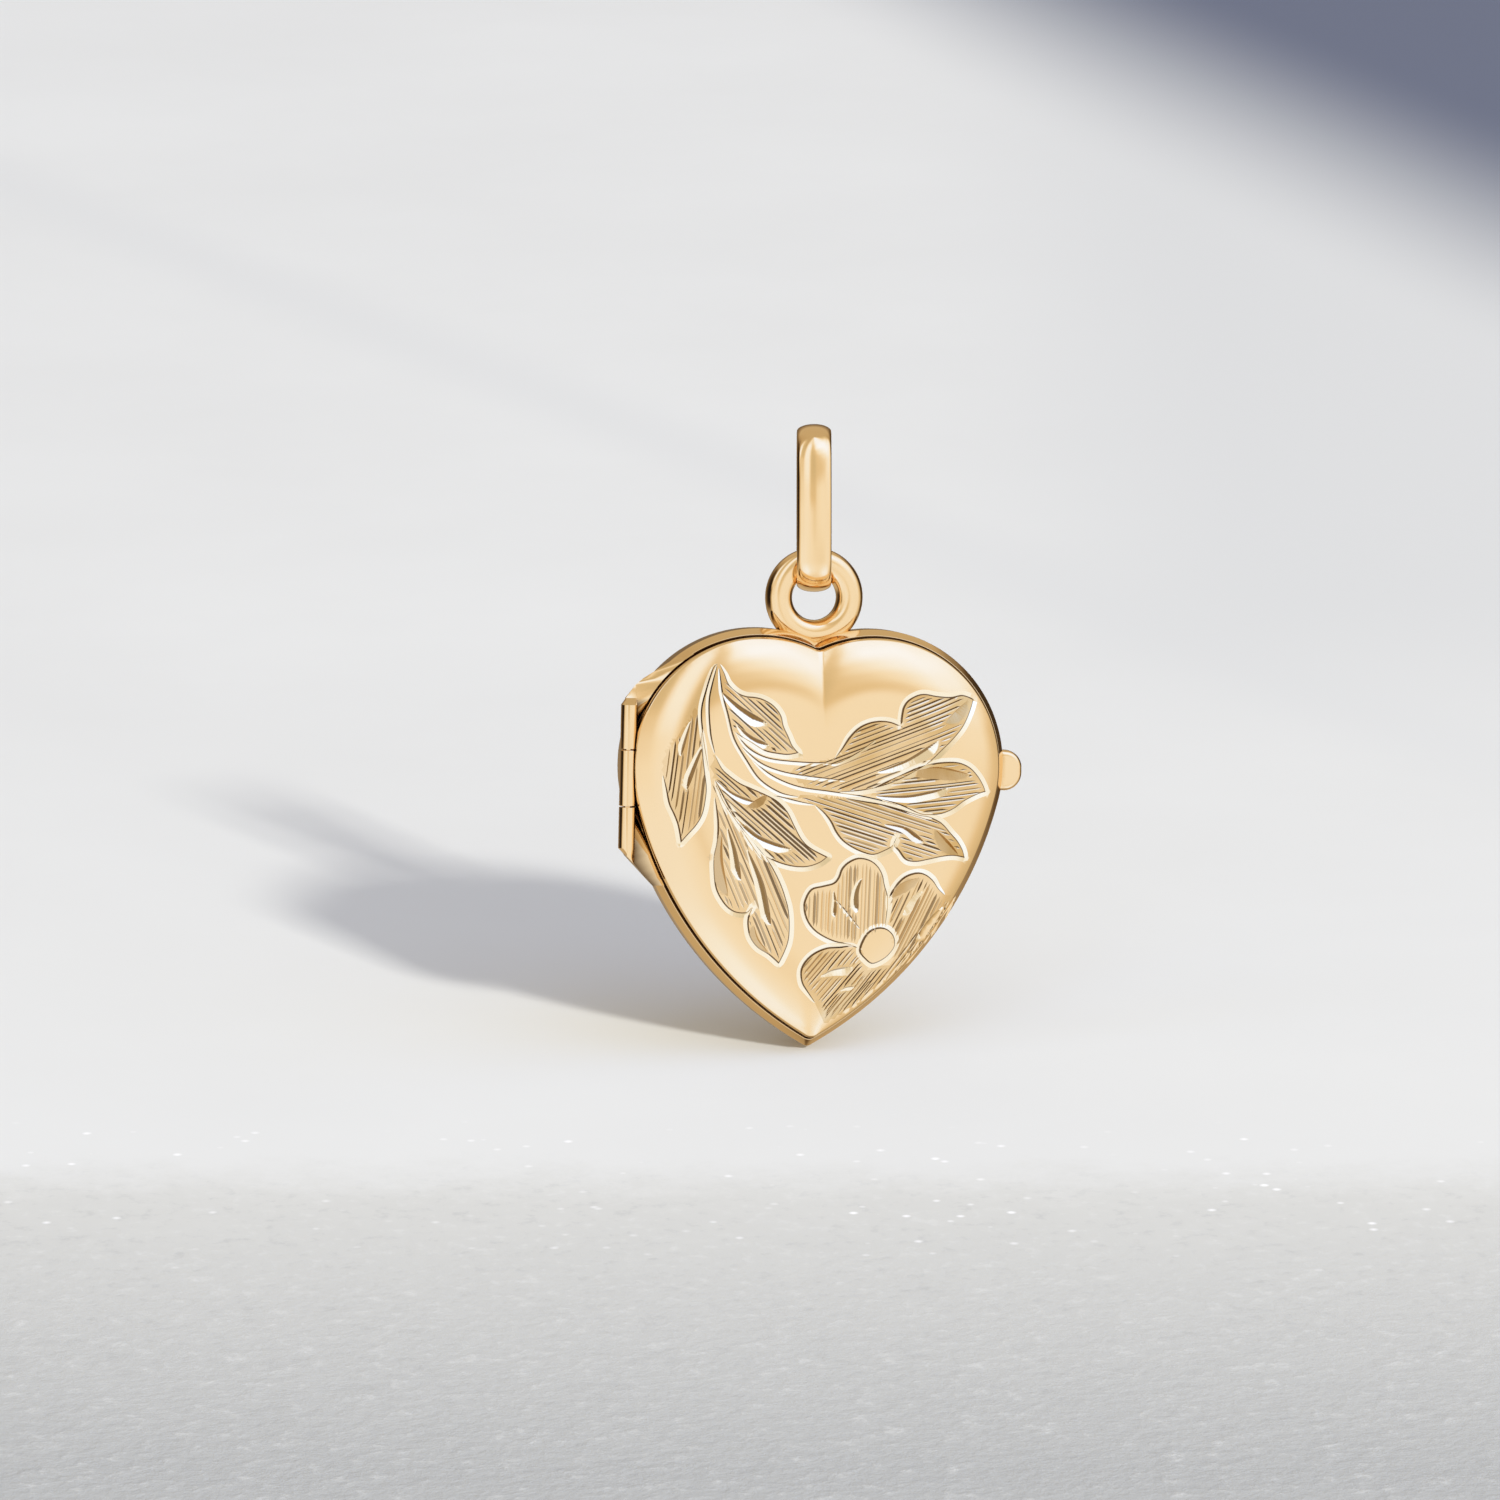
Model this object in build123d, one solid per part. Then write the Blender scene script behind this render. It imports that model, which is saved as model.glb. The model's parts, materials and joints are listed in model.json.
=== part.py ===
from build123d import *
from math import atan2, cos, hypot, radians, sin, sqrt
import os

# Gold heart locket on a ring and a bail, in millimetres.
# The origin is the inner crown of the bail, where a chain bears. +X is right, +Y is back, +Z is up.
# The locket is drawn in a frame of its own: x across the heart, z up from the sharp tip of the
# cover's outline, y back from the parting plane between cover and case. place() hangs it on the ring.

# Heart outline of the cover
heart_height = 16.1
lobe_radius = 5.18
lobe_centre_x = 2.32
lower_radius = 15.2
notch_radius = 0.45
tip_radius = 0.35

# Shells
wall = 0.35
parting_gap = 0.06
case_margin = 0.32
bevel_depth = 0.28
case_side_depth = 1.25
case_dome_rise = 1.15
case_dome_spread = 2.6
case_dome_edge_slope = 90.0
cover_rim = 0.25
cover_dome_rise = 1.05
cover_dome_spread = 2.6
cover_dome_edge_slope = 42.0

# Snap lip inside the case's mouth
lip_thickness = 0.28
lip_reach = 0.22
lip_root = 0.40
lip_clearance = 0.05

# Hinge at the heart's left side
hinge_tube_radius = 0.33
hinge_proud = 0.15
pin_radius = 0.15
pin_clearance = 0.03
knuckle_clearance = 0.06
knuckle_end_gap = 0.05
hinge_drop = 0.50
middle_knuckle_length = 2.24
upper_knuckle_length = 1.80
lower_knuckle_length = 1.68
pin_end_cover = 0.12
lug_gap = 0.08
lug_shoulder_run = 0.72
lug_shoulder_rise = 0.88
lug_fairing_run = 2.55
lug_fairing_rise = 2.05
lug_foot_run = 1.45
lug_foot_drop = 1.50
bearing_wall = 0.30

# Thumb tab at the heart's right side
tab_proud = 0.82
tab_height = 1.64
tab_thickness = 0.66
tab_drop = 0.12
tab_corner_radius = 0.72
tab_edge_round = 0.27

# Eye ring soldered into the notch
ring_wire_radius = 0.54
ring_radius = 1.45
ring_rise = 1.24
ring_back = 1.05
lean = 1.3

# Bail
bail_height = 6.72
bail_depth = 3.90
bail_width = 1.38
bail_thickness = 0.36
bail_crown = 0.04
bail_inner_round = 0.14
bail_outer_round = 0.17
bail_turn = -12.0
hang_clearance = 0.07

# Worked-out places
half_width = lobe_centre_x + lobe_radius
lobe_centre_z = heart_height - lobe_radius
reach = 2 * heart_height
mouth = parting_gap / 2
hinge_x = -half_width - hinge_proud
hinge_middle_z = lobe_centre_z - hinge_drop
knuckle_low_z = hinge_middle_z - middle_knuckle_length / 2
knuckle_high_z = hinge_middle_z + middle_knuckle_length / 2
hinge_top_z = knuckle_high_z + upper_knuckle_length
hinge_bottom_z = knuckle_low_z - lower_knuckle_length
pin_top_z = hinge_top_z - pin_end_cover
pin_bottom_z = hinge_bottom_z + pin_end_cover
tab_middle_z = lobe_centre_z - tab_drop
tab_middle_depth = mouth + (bevel_depth + case_side_depth) / 2
bearing_x = hinge_x + hinge_tube_radius + knuckle_clearance + bearing_wall
bail_bend = bail_depth / 2 - bail_thickness
bail_leg = bail_height - bail_depth
bail_seat_z = -(bail_height - 2 * bail_thickness)
ring_hole = ring_radius - ring_wire_radius
ring_centre_z = bail_seat_z - bail_inner_round - sqrt(
    (ring_hole - hang_clearance - bail_inner_round) ** 2 - (bail_width / 2 - bail_inner_round) ** 2
)
ring_local_z = heart_height + case_margin + ring_rise

# Sections of a dome, from its rim to the flat of its face, as shares of the turn between them
dome_turn_shares = [1, 7 / 9, 5 / 9, 3 / 9, 1 / 9, 0]


def toward(start, end, length):
    """The point at a length from start on the way to end."""
    reach = hypot(end[0] - start[0], end[1] - start[1])
    return (
        start[0] + (end[0] - start[0]) * length / reach,
        start[1] + (end[1] - start[1]) * length / reach,
    )


def lower_centre():
    """Centre of the right lower side: it passes through the tip and is tangent to the lobe inside."""
    span = hypot(lobe_centre_x, lobe_centre_z)
    from_lobe = lower_radius - lobe_radius
    along = (from_lobe**2 - lower_radius**2 + span**2) / (2 * span)
    across = sqrt(from_lobe**2 - along**2)
    foot = toward((lobe_centre_x, lobe_centre_z), (0, 0), along)
    return (
        foot[0] - across * lobe_centre_z / span,
        foot[1] + across * lobe_centre_x / span,
    )


def arc_middle(centre, start, end, radius):
    """Middle point of the short arc from start to end."""
    chord_middle = ((start[0] + end[0]) / 2, (start[1] + end[1]) / 2)
    return toward(centre, chord_middle, radius)


def heart_wire(inset, y):
    """The heart outline, inset from the cover's, at a depth y: six tangent arcs."""
    lobe = (lobe_centre_x, lobe_centre_z)
    lobe_r = lobe_radius - inset
    lower = lower_centre()
    lower_r = lower_radius - inset
    notch_r = notch_radius + inset
    notch = (0, lobe_centre_z + sqrt((lobe_radius + notch_radius) ** 2 - lobe_centre_x**2))
    tip = (0, lower[1] - sqrt((lower_r - tip_radius) ** 2 - lower[0] ** 2))
    notch_end = toward(notch, lobe, notch_r)
    side_end = toward(lower, lobe, lower_r)
    tip_end = toward(lower, tip, lower_r)
    start_angle = atan2(notch_end[1] - lobe[1], notch_end[0] - lobe[0])
    end_angle = atan2(side_end[1] - lobe[1], side_end[0] - lobe[0])
    lobe_turn = (start_angle + end_angle) / 2
    lobe_middle = (lobe[0] + lobe_r * cos(lobe_turn), lobe[1] + lobe_r * sin(lobe_turn))
    lower_middle = arc_middle(lower, side_end, tip_end, lower_r)

    def right(point):
        return (point[0], y, point[1])

    def left(point):
        return (-point[0], y, point[1])

    notch_bottom = (0, y, notch[1] - notch_r)
    tip_bottom = (0, y, tip[1] - tip_radius)
    return Wire(
        [
            Edge.make_three_point_arc(left(notch_end), notch_bottom, right(notch_end)),
            Edge.make_three_point_arc(right(notch_end), right(lobe_middle), right(side_end)),
            Edge.make_three_point_arc(right(side_end), right(lower_middle), right(tip_end)),
            Edge.make_three_point_arc(right(tip_end), tip_bottom, left(tip_end)),
            Edge.make_three_point_arc(left(tip_end), left(lower_middle), left(side_end)),
            Edge.make_three_point_arc(left(side_end), left(lobe_middle), left(notch_end)),
        ]
    )


def heart_prism(inset, front_y, back_y):
    """A straight heart block between two depths."""
    return Solid.extrude(Face(heart_wire(inset, front_y)), Vector(0, back_y - front_y, 0))


def heart_dome(inset, base_y, rise, spread, edge_slope, side):
    """A domed heart that rises from base_y to the front (side -1) or the back (side 1).

    Its profile is an arc, stretched to the rise and spread, that leaves the rim at edge_slope degrees.
    """
    rim_turn = radians(edge_slope)
    sections = []
    for share in dome_turn_shares:
        turn = rim_turn * share
        rise_share = (cos(turn) - cos(rim_turn)) / (1 - cos(rim_turn))
        inset_share = 1 - sin(turn) / sin(rim_turn)
        sections.append(heart_wire(inset + inset_share * spread, base_y + side * rise_share * rise))
    return Solid.make_loft(sections)


def slab(low_x, high_x, low_y, high_y, low_z, high_z):
    """A block given by its faces."""
    block = Box(high_x - low_x, high_y - low_y, high_z - low_z)
    return block.moved(Location(((low_x + high_x) / 2, (low_y + high_y) / 2, (low_z + high_z) / 2)))


def hinge_bar(radius, low_z, high_z):
    """A round bar on the hinge line."""
    middle = Location((hinge_x, 0, (low_z + high_z) / 2))
    return Cylinder(radius, high_z - low_z).moved(middle)


def hinge_side(extra):
    """Everything beside the hinge that the hollow of the shells leaves solid, and some extra width."""
    return slab(-reach, bearing_x + extra, -reach, reach, -reach, reach)


def pin_hole():
    """The blind bore that the pin sits in."""
    return hinge_bar(pin_radius + pin_clearance, pin_bottom_z, pin_top_z)


def front_cover():
    """Domed cover with the middle knuckle."""
    rim_y = -mouth - cover_rim
    inner_rise = cover_dome_rise - wall
    inner_spread = cover_dome_spread - wall / 2
    outside = heart_prism(0, rim_y, -mouth)
    outside += heart_dome(0, rim_y, cover_dome_rise, cover_dome_spread, cover_dome_edge_slope, -1)
    hollow = heart_prism(wall, rim_y, mouth)
    hollow += heart_dome(wall, rim_y, inner_rise, inner_spread, cover_dome_edge_slope, -1)
    relief = hinge_tube_radius + knuckle_clearance
    shell = outside - (hollow - hinge_side(0))
    shell -= hinge_bar(relief, -reach, knuckle_low_z)
    shell -= hinge_bar(relief, knuckle_high_z, reach)
    knuckle = hinge_bar(hinge_tube_radius, knuckle_low_z, knuckle_high_z)
    return shell + knuckle - pin_hole()


def hinge_lug():
    """Outer knuckles of the case with the web that fairs them into its rim."""
    left_x = hinge_x - hinge_tube_radius
    points = [
        (left_x + lug_fairing_run, hinge_top_z + lug_fairing_rise),
        (left_x + lug_shoulder_run, hinge_top_z + lug_shoulder_rise),
        (left_x, hinge_top_z),
        (left_x, hinge_bottom_z),
        (left_x + lug_foot_run, hinge_bottom_z - lug_foot_drop),
        (left_x + lug_fairing_run, hinge_middle_z),
    ]
    outline = Face(Wire.make_polygon([(x, -half_width, z) for x, z in points]))
    field = Solid.extrude(outline, Vector(0, 2 * half_width, 0))
    tube = hinge_bar(hinge_tube_radius, 0, reach)
    web = slab(hinge_x, 0, lug_gap, hinge_tube_radius, 0, reach)
    gap_low_z = knuckle_low_z - knuckle_end_gap
    gap_high_z = knuckle_high_z + knuckle_end_gap
    gap = slab(-reach, 0, -half_width, half_width, gap_low_z, gap_high_z)
    return (tube + web) & field - gap


def snap_lip():
    """Low wall inside the mouth that the cover presses over."""
    outer = wall + lip_clearance
    inner = outer + lip_thickness
    lip = heart_prism(outer, -lip_reach, lip_root) - hinge_side(lip_clearance)
    foot = heart_prism(wall / 2, lug_gap, lip_root) - hinge_side(0)
    inside = heart_prism(inner, -lip_reach, lip_root) - hinge_side(lip_clearance + lip_thickness)
    return lip + foot - inside


def eye_ring_halves():
    """Round wire ring, upright across the notch, as two half turns that meet at its top and bottom."""
    middle = Vector(0, ring_back, ring_local_z)
    wire_middle = Plane(middle + Vector(0, 0, ring_radius), z_dir=(1, 0, 0))
    section = Face(Wire.make_circle(ring_wire_radius, wire_middle))
    turn = Axis(middle, (0, 1, 0))
    right = Solid.revolve(section, 180, turn)
    return [right, right.rotate(turn, 180)]


def thumb_tab():
    """Small rounded tab on the case's side wall."""
    low_x = half_width
    high_x = half_width + case_margin + tab_proud
    block = slab(
        low_x,
        high_x,
        tab_middle_depth - tab_thickness / 2,
        tab_middle_depth + tab_thickness / 2,
        tab_middle_z - tab_height / 2,
        tab_middle_z + tab_height / 2,
    )
    outer_corners = block.edges().filter_by(Axis.Y).sort_by(Axis.X)[-2:]
    block = fillet(outer_corners, tab_corner_radius)
    faces = block.faces().sort_by(Axis.Y)
    rims = [edge for face in (faces[0], faces[-1]) for edge in face.edges() if edge.center().X > low_x]
    return fillet(rims, tab_edge_round)


def back_case():
    """Deep half: bevelled mouth, side wall, domed back, lip, outer knuckles, tab and ring."""
    bevel_y = mouth + bevel_depth
    side_y = mouth + case_side_depth
    inner_rise = case_dome_rise - wall
    inner_spread = case_dome_spread - case_margin - wall / 2
    bevel = Solid.make_loft([heart_wire(0, mouth), heart_wire(-case_margin, bevel_y)], True)
    side = heart_prism(-case_margin, bevel_y, side_y)
    dome = heart_dome(
        -case_margin, side_y, case_dome_rise, case_dome_spread, case_dome_edge_slope, 1
    )
    hollow = heart_prism(wall, 0, side_y)
    hollow += heart_dome(wall, side_y, inner_rise, inner_spread, case_dome_edge_slope, 1)
    hollow -= hinge_side(0)
    relief = hinge_tube_radius + knuckle_clearance
    shell = bevel + side + dome + hinge_lug() + thumb_tab()
    for half in eye_ring_halves():
        shell += half
    shell -= hollow
    shell -= hinge_bar(relief, knuckle_low_z - knuckle_end_gap, knuckle_high_z + knuckle_end_gap)
    shell -= pin_hole()
    return shell + snap_lip()


def hinge_pin():
    """Plain pin through the three knuckles."""
    return hinge_bar(pin_radius, pin_bottom_z + pin_clearance, pin_top_z - pin_clearance)


def bail():
    """Upright loop of half-round strip, turned edge-on, through which the chain and the ring pass."""
    half = bail_width / 2
    side = bail_thickness - bail_crown
    top_z = -bail_bend
    bottom_z = top_z - bail_leg

    def at(u, v):
        return (u, -bail_bend - v, top_z)

    strip = Wire(
        [
            Edge.make_line(at(-half, 0), at(half, 0)),
            Edge.make_line(at(half, 0), at(half, side)),
            Edge.make_three_point_arc(at(half, side), at(0, bail_thickness), at(-half, side)),
            Edge.make_line(at(-half, side), at(-half, 0)),
        ]
    )
    corners = strip.vertices().sort_by(Axis.Y)
    strip = strip.fillet_2d(bail_inner_round, corners[-2:])
    corners = [v for v in strip.vertices() if abs(v.Y + bail_bend + side) < bail_crown / 2]
    section = Face(strip.fillet_2d(bail_outer_round, corners))
    front_leg = Solid.extrude(section, Vector(0, 0, -bail_leg))
    back_leg = front_leg.rotate(Axis.Z, 180)
    top_bend = Solid.revolve(section, 180, Axis((0, 0, top_z), (-1, 0, 0)))
    bottom_bend = top_bend.rotate(Axis((0, 0, (top_z + bottom_z) / 2), (1, 0, 0)), 180)
    loop = front_leg + back_leg + top_bend + bottom_bend
    return loop.clean().rotate(Axis.Z, bail_turn)


def place(piece):
    """Hang a piece of the locket on the bail: the ring's centre comes under the bail's seat."""
    moved = piece.moved(Location((0, -ring_back, -ring_local_z)))
    return moved.rotate(Axis.Y, lean).moved(Location((0, 0, ring_centre_z)))


nodes = {
    "bail": bail(),
    "back_case": place(back_case()),
    "front_cover": place(front_cover()),
    "hinge_pin": place(hinge_pin()),
}

os.makedirs("parts", exist_ok=True)
for name, piece in nodes.items():
    export_step(piece, f"parts/{name}.step")
    print(name, len(piece.solids()), round(piece.volume, 4))
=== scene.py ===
import json
from math import atan2, cos, pi, radians, sin, sqrt

import bmesh
import bpy
import numpy as np
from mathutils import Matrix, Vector
from mathutils.geometry import delaunay_2d_cdt


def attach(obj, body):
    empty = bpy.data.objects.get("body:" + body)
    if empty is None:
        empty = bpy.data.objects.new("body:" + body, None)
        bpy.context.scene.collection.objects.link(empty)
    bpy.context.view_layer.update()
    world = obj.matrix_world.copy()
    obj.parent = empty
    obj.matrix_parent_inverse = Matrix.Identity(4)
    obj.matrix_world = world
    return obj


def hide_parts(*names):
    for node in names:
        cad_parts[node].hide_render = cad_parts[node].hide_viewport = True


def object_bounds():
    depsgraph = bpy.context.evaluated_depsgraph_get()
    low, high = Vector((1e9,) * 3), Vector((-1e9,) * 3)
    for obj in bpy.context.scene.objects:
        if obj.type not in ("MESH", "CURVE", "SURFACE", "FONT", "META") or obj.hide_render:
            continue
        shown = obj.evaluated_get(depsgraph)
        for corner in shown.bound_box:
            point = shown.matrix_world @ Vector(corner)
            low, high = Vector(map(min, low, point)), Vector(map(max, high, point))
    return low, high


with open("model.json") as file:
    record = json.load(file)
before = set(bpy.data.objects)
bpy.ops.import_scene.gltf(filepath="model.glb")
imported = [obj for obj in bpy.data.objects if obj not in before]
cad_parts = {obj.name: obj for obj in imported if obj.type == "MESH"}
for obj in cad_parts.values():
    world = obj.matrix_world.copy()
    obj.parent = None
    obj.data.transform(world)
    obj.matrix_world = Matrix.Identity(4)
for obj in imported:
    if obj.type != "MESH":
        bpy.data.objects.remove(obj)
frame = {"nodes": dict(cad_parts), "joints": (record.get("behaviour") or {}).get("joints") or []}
cad_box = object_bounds()

# Heart locket on a ring and a bail. Sizes are in millimetres, and a mesh is scaled to metres as it is made.
# The locket is drawn in its own frame: x across the heart, y back from the parting plane, z up from the tip.
MM = 0.001
WELD = 0.0005
TINY = 1e-9

# Heart outline of the cover
heart_height = 16.1
lobe_radius = 5.18
lobe_x = 2.32
lower_radius = 15.2
notch_radius = 0.45
tip_radius = 0.45
tip_softening = 0.7

# Shells
wall = 0.35
mouth = 0.03
case_margin = 0.32
bevel_depth = 0.28
case_side_depth = 1.25
case_dome_rise = 1.15
case_dome_spread = 2.6
case_dome_edge_slope = radians(90.0)
cover_rim = 0.25
cover_dome_rise = 1.05
cover_dome_spread = 2.6
cover_dome_edge_slope = radians(42.0)
cover_crown = 0.09
cover_edge_drop = 0.05
cover_edge_run = 0.06
shadow_gap = 0.06
shadow_gap_start = 0.06
shadow_gap_depth = 0.42
shadow_gap_round = 0.02
mouth_step = 0.02
edge_round = 0.045
band_depth = 0.46
band_round = 0.08

# Snap lip
lip_thickness = 0.28
lip_reach = 0.22
lip_root = 0.40
lip_clearance = 0.05
lip_round = 0.09

# Hinge
hinge_radius = 0.33
hinge_proud = 0.15
hinge_drop = 0.50
knuckle_clearance = 0.06
knuckle_end_gap = 0.05
middle_knuckle_length = 2.24
upper_knuckle_length = 1.80
lower_knuckle_length = 1.68
lug_gap = 0.08
lug_shoulder_run = 0.72
lug_shoulder_rise = 0.88
lug_fairing_run = 2.55
lug_fairing_rise = 2.05
lug_fairing_fall = 0.36
lug_foot_run = 1.45
lug_foot_drop = 1.50
lug_least_width = 0.10
lug_edge_round = 0.0315
bearing_wall = 0.30

# Thumb tab
tab_proud = 0.82
tab_height = 1.64
tab_thickness = 0.66
tab_drop = 0.12
tab_corner_radius = 0.72
tab_edge_round = 0.27

# Eye ring
ring_wire_radius = 0.54
ring_radius = 1.45
ring_rise = 1.24
ring_back = 1.05

# Bail
bail_height = 6.72
bail_depth = 3.90
bail_width = 1.38
bail_thickness = 0.36
bail_side = 0.06
bail_inner_round = 0.05
bail_end_radius = 1.75
bail_turn = radians(-12.0)

# Notch, tip and crown of the cover's face
crease_fade = 2.0
ridge_spread = 0.5
face_centre_z = 8.6
face_half_height = 9.0
face_half_width = 8.2
face_inset = 0.12
face_spacing = 0.18
face_edge_shares = (1.0, 0.75, 0.5, 0.3, 0.14, 0.04, 0.0)
face_skin = 0.6

# Painted shade in deep grooves and between parts, where light doesn't reach: ranges in millimetres, and
# shares of the hinge's radius
painted_shade_groove_inset = (-0.078, 0.10)
painted_shade_groove_depth = (0.02, 0.50)
painted_shade_knuckle_from = 0.80
painted_shade_knuckle_front = -0.60
painted_shade_lug_from = 0.85
painted_shade_lug_front = -0.25

# Steps of the round forms
ARC_COUNTS = {"notch": 8, "lobe": 130, "lower": 120, "tip": 8}
CORNER_STEPS = 5
DOME_STEPS = 16
KNUCKLE_STEPS = 64
LUG_STEPS = 56
UPPER_LUG_LEVELS = 9
LOWER_LUG_LEVELS = 6
TAB_CORNER_STEPS = 20
TAB_EDGE_STEPS = 8
RING_STEPS = 144
WIRE_STEPS = 64
BAIL_CROWN_STEPS = 48
BAIL_LEG_STEPS = 24
BAIL_END_STEPS = 48

# Worked-out places
half_width = lobe_x + lobe_radius
lobe_z = heart_height - lobe_radius
hinge_x = -half_width - hinge_proud
hinge_middle_z = lobe_z - hinge_drop
knuckle_low_z = hinge_middle_z - middle_knuckle_length / 2
knuckle_high_z = hinge_middle_z + middle_knuckle_length / 2
hinge_top_z = knuckle_high_z + upper_knuckle_length
hinge_bottom_z = knuckle_low_z - lower_knuckle_length
bearing_x = hinge_x + hinge_radius + knuckle_clearance + bearing_wall
relief_radius = hinge_radius + knuckle_clearance
ring_z = heart_height + case_margin + ring_rise
tab_z = lobe_z - tab_drop
tab_depth = mouth + (bevel_depth + case_side_depth) / 2
cover_rim_y = -mouth - cover_rim
case_side_y = mouth + case_side_depth

# The locket's frame in the row frame, from the hinge that joins cover and case
hinge_joint = next(joint for joint in frame["joints"] if joint["name"] == "cover_hinge")
UP = -Vector(hinge_joint["axis"]).normalized()
BACK = Vector((0, 1, 0))
ACROSS = BACK.cross(UP)
LOCAL_AXES = np.array([ACROSS, BACK, UP])
LOCAL_ORIGIN = Vector(hinge_joint["pos_m"]) / MM - hinge_x * ACROSS - hinge_middle_z * UP

# Camera: the photograph is 1500 pixels square, with 25 pixels to a millimetre at the bail
FRAME_PX = 1500
PX_PER_MM = 25.0
ORIGIN_PX = (814.0, 433.0)
CAMERA_AZIMUTH = radians(-12.0)
CAMERA_ELEVATION = radians(4.0)
CAMERA_DISTANCE = 350.0
SENSOR = 36.0
CAMERA_CLIP = (0.01, 10.0)

# Tones of the gold; the painted highlight and painted shade on the two walls of an engraved cut, the painted
# shade also in deep grooves; and the painted shade on the ground between shading lines
GOLD_PALE = (0.95, 0.70, 0.385)
GOLD_DEEP = (0.93, 0.67, 0.355)
PAINTED_HIGHLIGHT_TONE = (1.0, 0.87, 0.62)
PAINTED_HIGHLIGHT_TONE_SHARE = 0.95
PAINTED_SHADE_TONE = (0.085, 0.036, 0.008)
PAINTED_SHADE_TONE_SHARE = 0.92
PAINTED_SHADE_GROUND = (0.68, 0.41, 0.13)
PAINTED_SHADE_GROUND_SHARE = (0.35, 1.0)

# Noise in the gold: waves to a metre, detail and roughness, and the part of its range that shows
GOLD_NOISE = (260.0, 2.0, 0.5)
GROUND_NOISE = (700.0, 2.0, 0.5)
GROUND_RANGE = (0.35, 0.65)
HAZE_NOISE = (900.0, 4.0, 0.6)
HAZE_RANGE = (0.3, 0.7)

# Light tent: its tone by azimuth (degrees, 0 in front, right is positive) and by elevation
TENT_ELEVATIONS = (-82, -60, -30, -6, 8, 20, 32, 44, 60, 80)
TENT_COLUMNS = [
    (-150, (0.30, 0.50, 0.60, 0.40, 0.35, 0.35, 0.45, 0.60, 0.60, 0.60)),
    (-110, (0.40, 0.60, 0.55, 0.15, 0.12, 0.15, 0.20, 0.40, 0.55, 0.60)),
    (-94, (0.50, 0.80, 0.55, 0.12, 0.10, 0.15, 0.40, 0.60, 0.60, 0.60)),
    (-84, (0.60, 1.00, 0.85, 0.40, 0.32, 0.90, 1.40, 1.40, 1.00, 0.60)),
    (-69, (0.80, 1.20, 1.05, 0.96, 0.90, 0.84, 0.72, 0.70, 0.70, 0.60)),
    (-52, (0.90, 1.30, 1.05, 0.97, 0.92, 0.86, 0.72, 0.70, 0.60, 0.60)),
    (-42, (0.90, 1.30, 1.05, 1.02, 1.00, 1.12, 1.20, 1.20, 1.20, 0.90)),
    (-30, (0.90, 1.12, 1.00, 1.03, 1.04, 1.18, 1.20, 1.20, 1.30, 1.00)),
    (-20, (0.90, 1.06, 0.97, 0.95, 0.78, 0.70, 0.70, 0.72, 0.80, 0.90)),
    (-10, (0.90, 1.02, 0.94, 0.88, 0.78, 0.70, 0.72, 0.78, 0.90, 1.20)),
    (-3, (0.90, 0.99, 0.93, 0.94, 0.92, 0.79, 0.82, 0.90, 1.30, 1.40)),
    (12, (0.90, 0.98, 0.92, 0.98, 0.99, 0.82, 0.90, 1.12, 1.50, 1.40)),
    (28, (0.90, 1.13, 0.94, 0.98, 0.97, 0.88, 1.05, 1.30, 1.50, 1.40)),
    (49, (0.90, 1.30, 1.00, 0.96, 1.00, 1.10, 1.30, 1.45, 1.50, 1.30)),
    (70, (0.80, 1.20, 0.95, 0.95, 1.00, 1.15, 1.30, 1.40, 1.30, 0.90)),
    (92, (0.60, 0.70, 0.70, 0.75, 0.70, 0.80, 1.10, 1.20, 0.90, 0.60)),
    (108, (0.40, 0.50, 0.40, 0.25, 0.20, 0.20, 0.40, 0.50, 0.60, 0.60)),
    (130, (0.30, 0.45, 0.50, 0.25, 0.20, 0.20, 0.40, 0.60, 0.60, 0.60)),
    (150, (0.30, 0.50, 0.60, 0.40, 0.35, 0.35, 0.45, 0.60, 0.60, 0.60)),
]
TONE_PEAK = 1.5

# Colour of the light at each tone: warm where the tent is dim, and cool where it is bright
LIGHT_PEAK = 2.4
LIGHT_TONES = [
    (0.00, (0.000, 0.000, 0.000)),
    (0.15, (0.022, 0.017, 0.013)),
    (0.30, (0.121, 0.079, 0.043)),
    (0.54, (0.548, 0.445, 0.308)),
    (0.70, (0.700, 0.634, 0.508)),
    (0.82, (0.833, 0.752, 0.635)),
    (0.96, (0.971, 1.000, 1.086)),
    (1.20, (1.000, 1.178, 1.630)),
    (1.50, (1.035, 1.346, 2.310)),
]
KEY_POWER = 90.0
KEY_SIZE = 0.30
KEY_DISTANCE = 3.0
KEY_AZIMUTH = radians(22.0)
KEY_ELEVATION = radians(21.5)
KEY_TARGET = Vector((0, 0, -0.014))

# Floor
FLOOR_TILT = radians(11.0)
FLOOR_REACH_FRONT = 0.30
FLOOR_REACH_BACK = 1.4
FLOOR_HALF_WIDTH = 0.8
FLOOR_CLEARANCE = 0.05
FLOOR_ROUGHNESS = 0.8
MOTTLE_NOISE = (25.0, 5.0, 0.6)
MOTTLE_RANGE = (0.3, 0.7)
FLOOR_PALE = (0.684, 0.678, 0.627)
FLOOR_DEEP = (0.654, 0.647, 0.598)
# Painted shade on the floor: blue-grey behind on the right, a faint half shade at the right, and a soft
# diagonal shadow streak
FLOOR_SHADE = (0.115, 0.130, 0.175)
SHADE_WAY = (1.052, 0.138, 0.069)
SHADE_RUN = (0.0824, 0.1144)
HALF_SHADE = (0.613, 0.610, 0.570)
HALF_SHADE_ACROSS = (0.004, 0.024)
HALF_SHADE_DEEP = (0.040, 0.075)
SHADOW_STREAK_WAY = (0.945, 0.327, 0.0)
SHADOW_STREAK_PLACE = 0.049
SHADOW_STREAK_HALF_WIDTH = 0.006
SHADOW_STREAK_TONE = (0.648, 0.643, 0.598)

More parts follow.
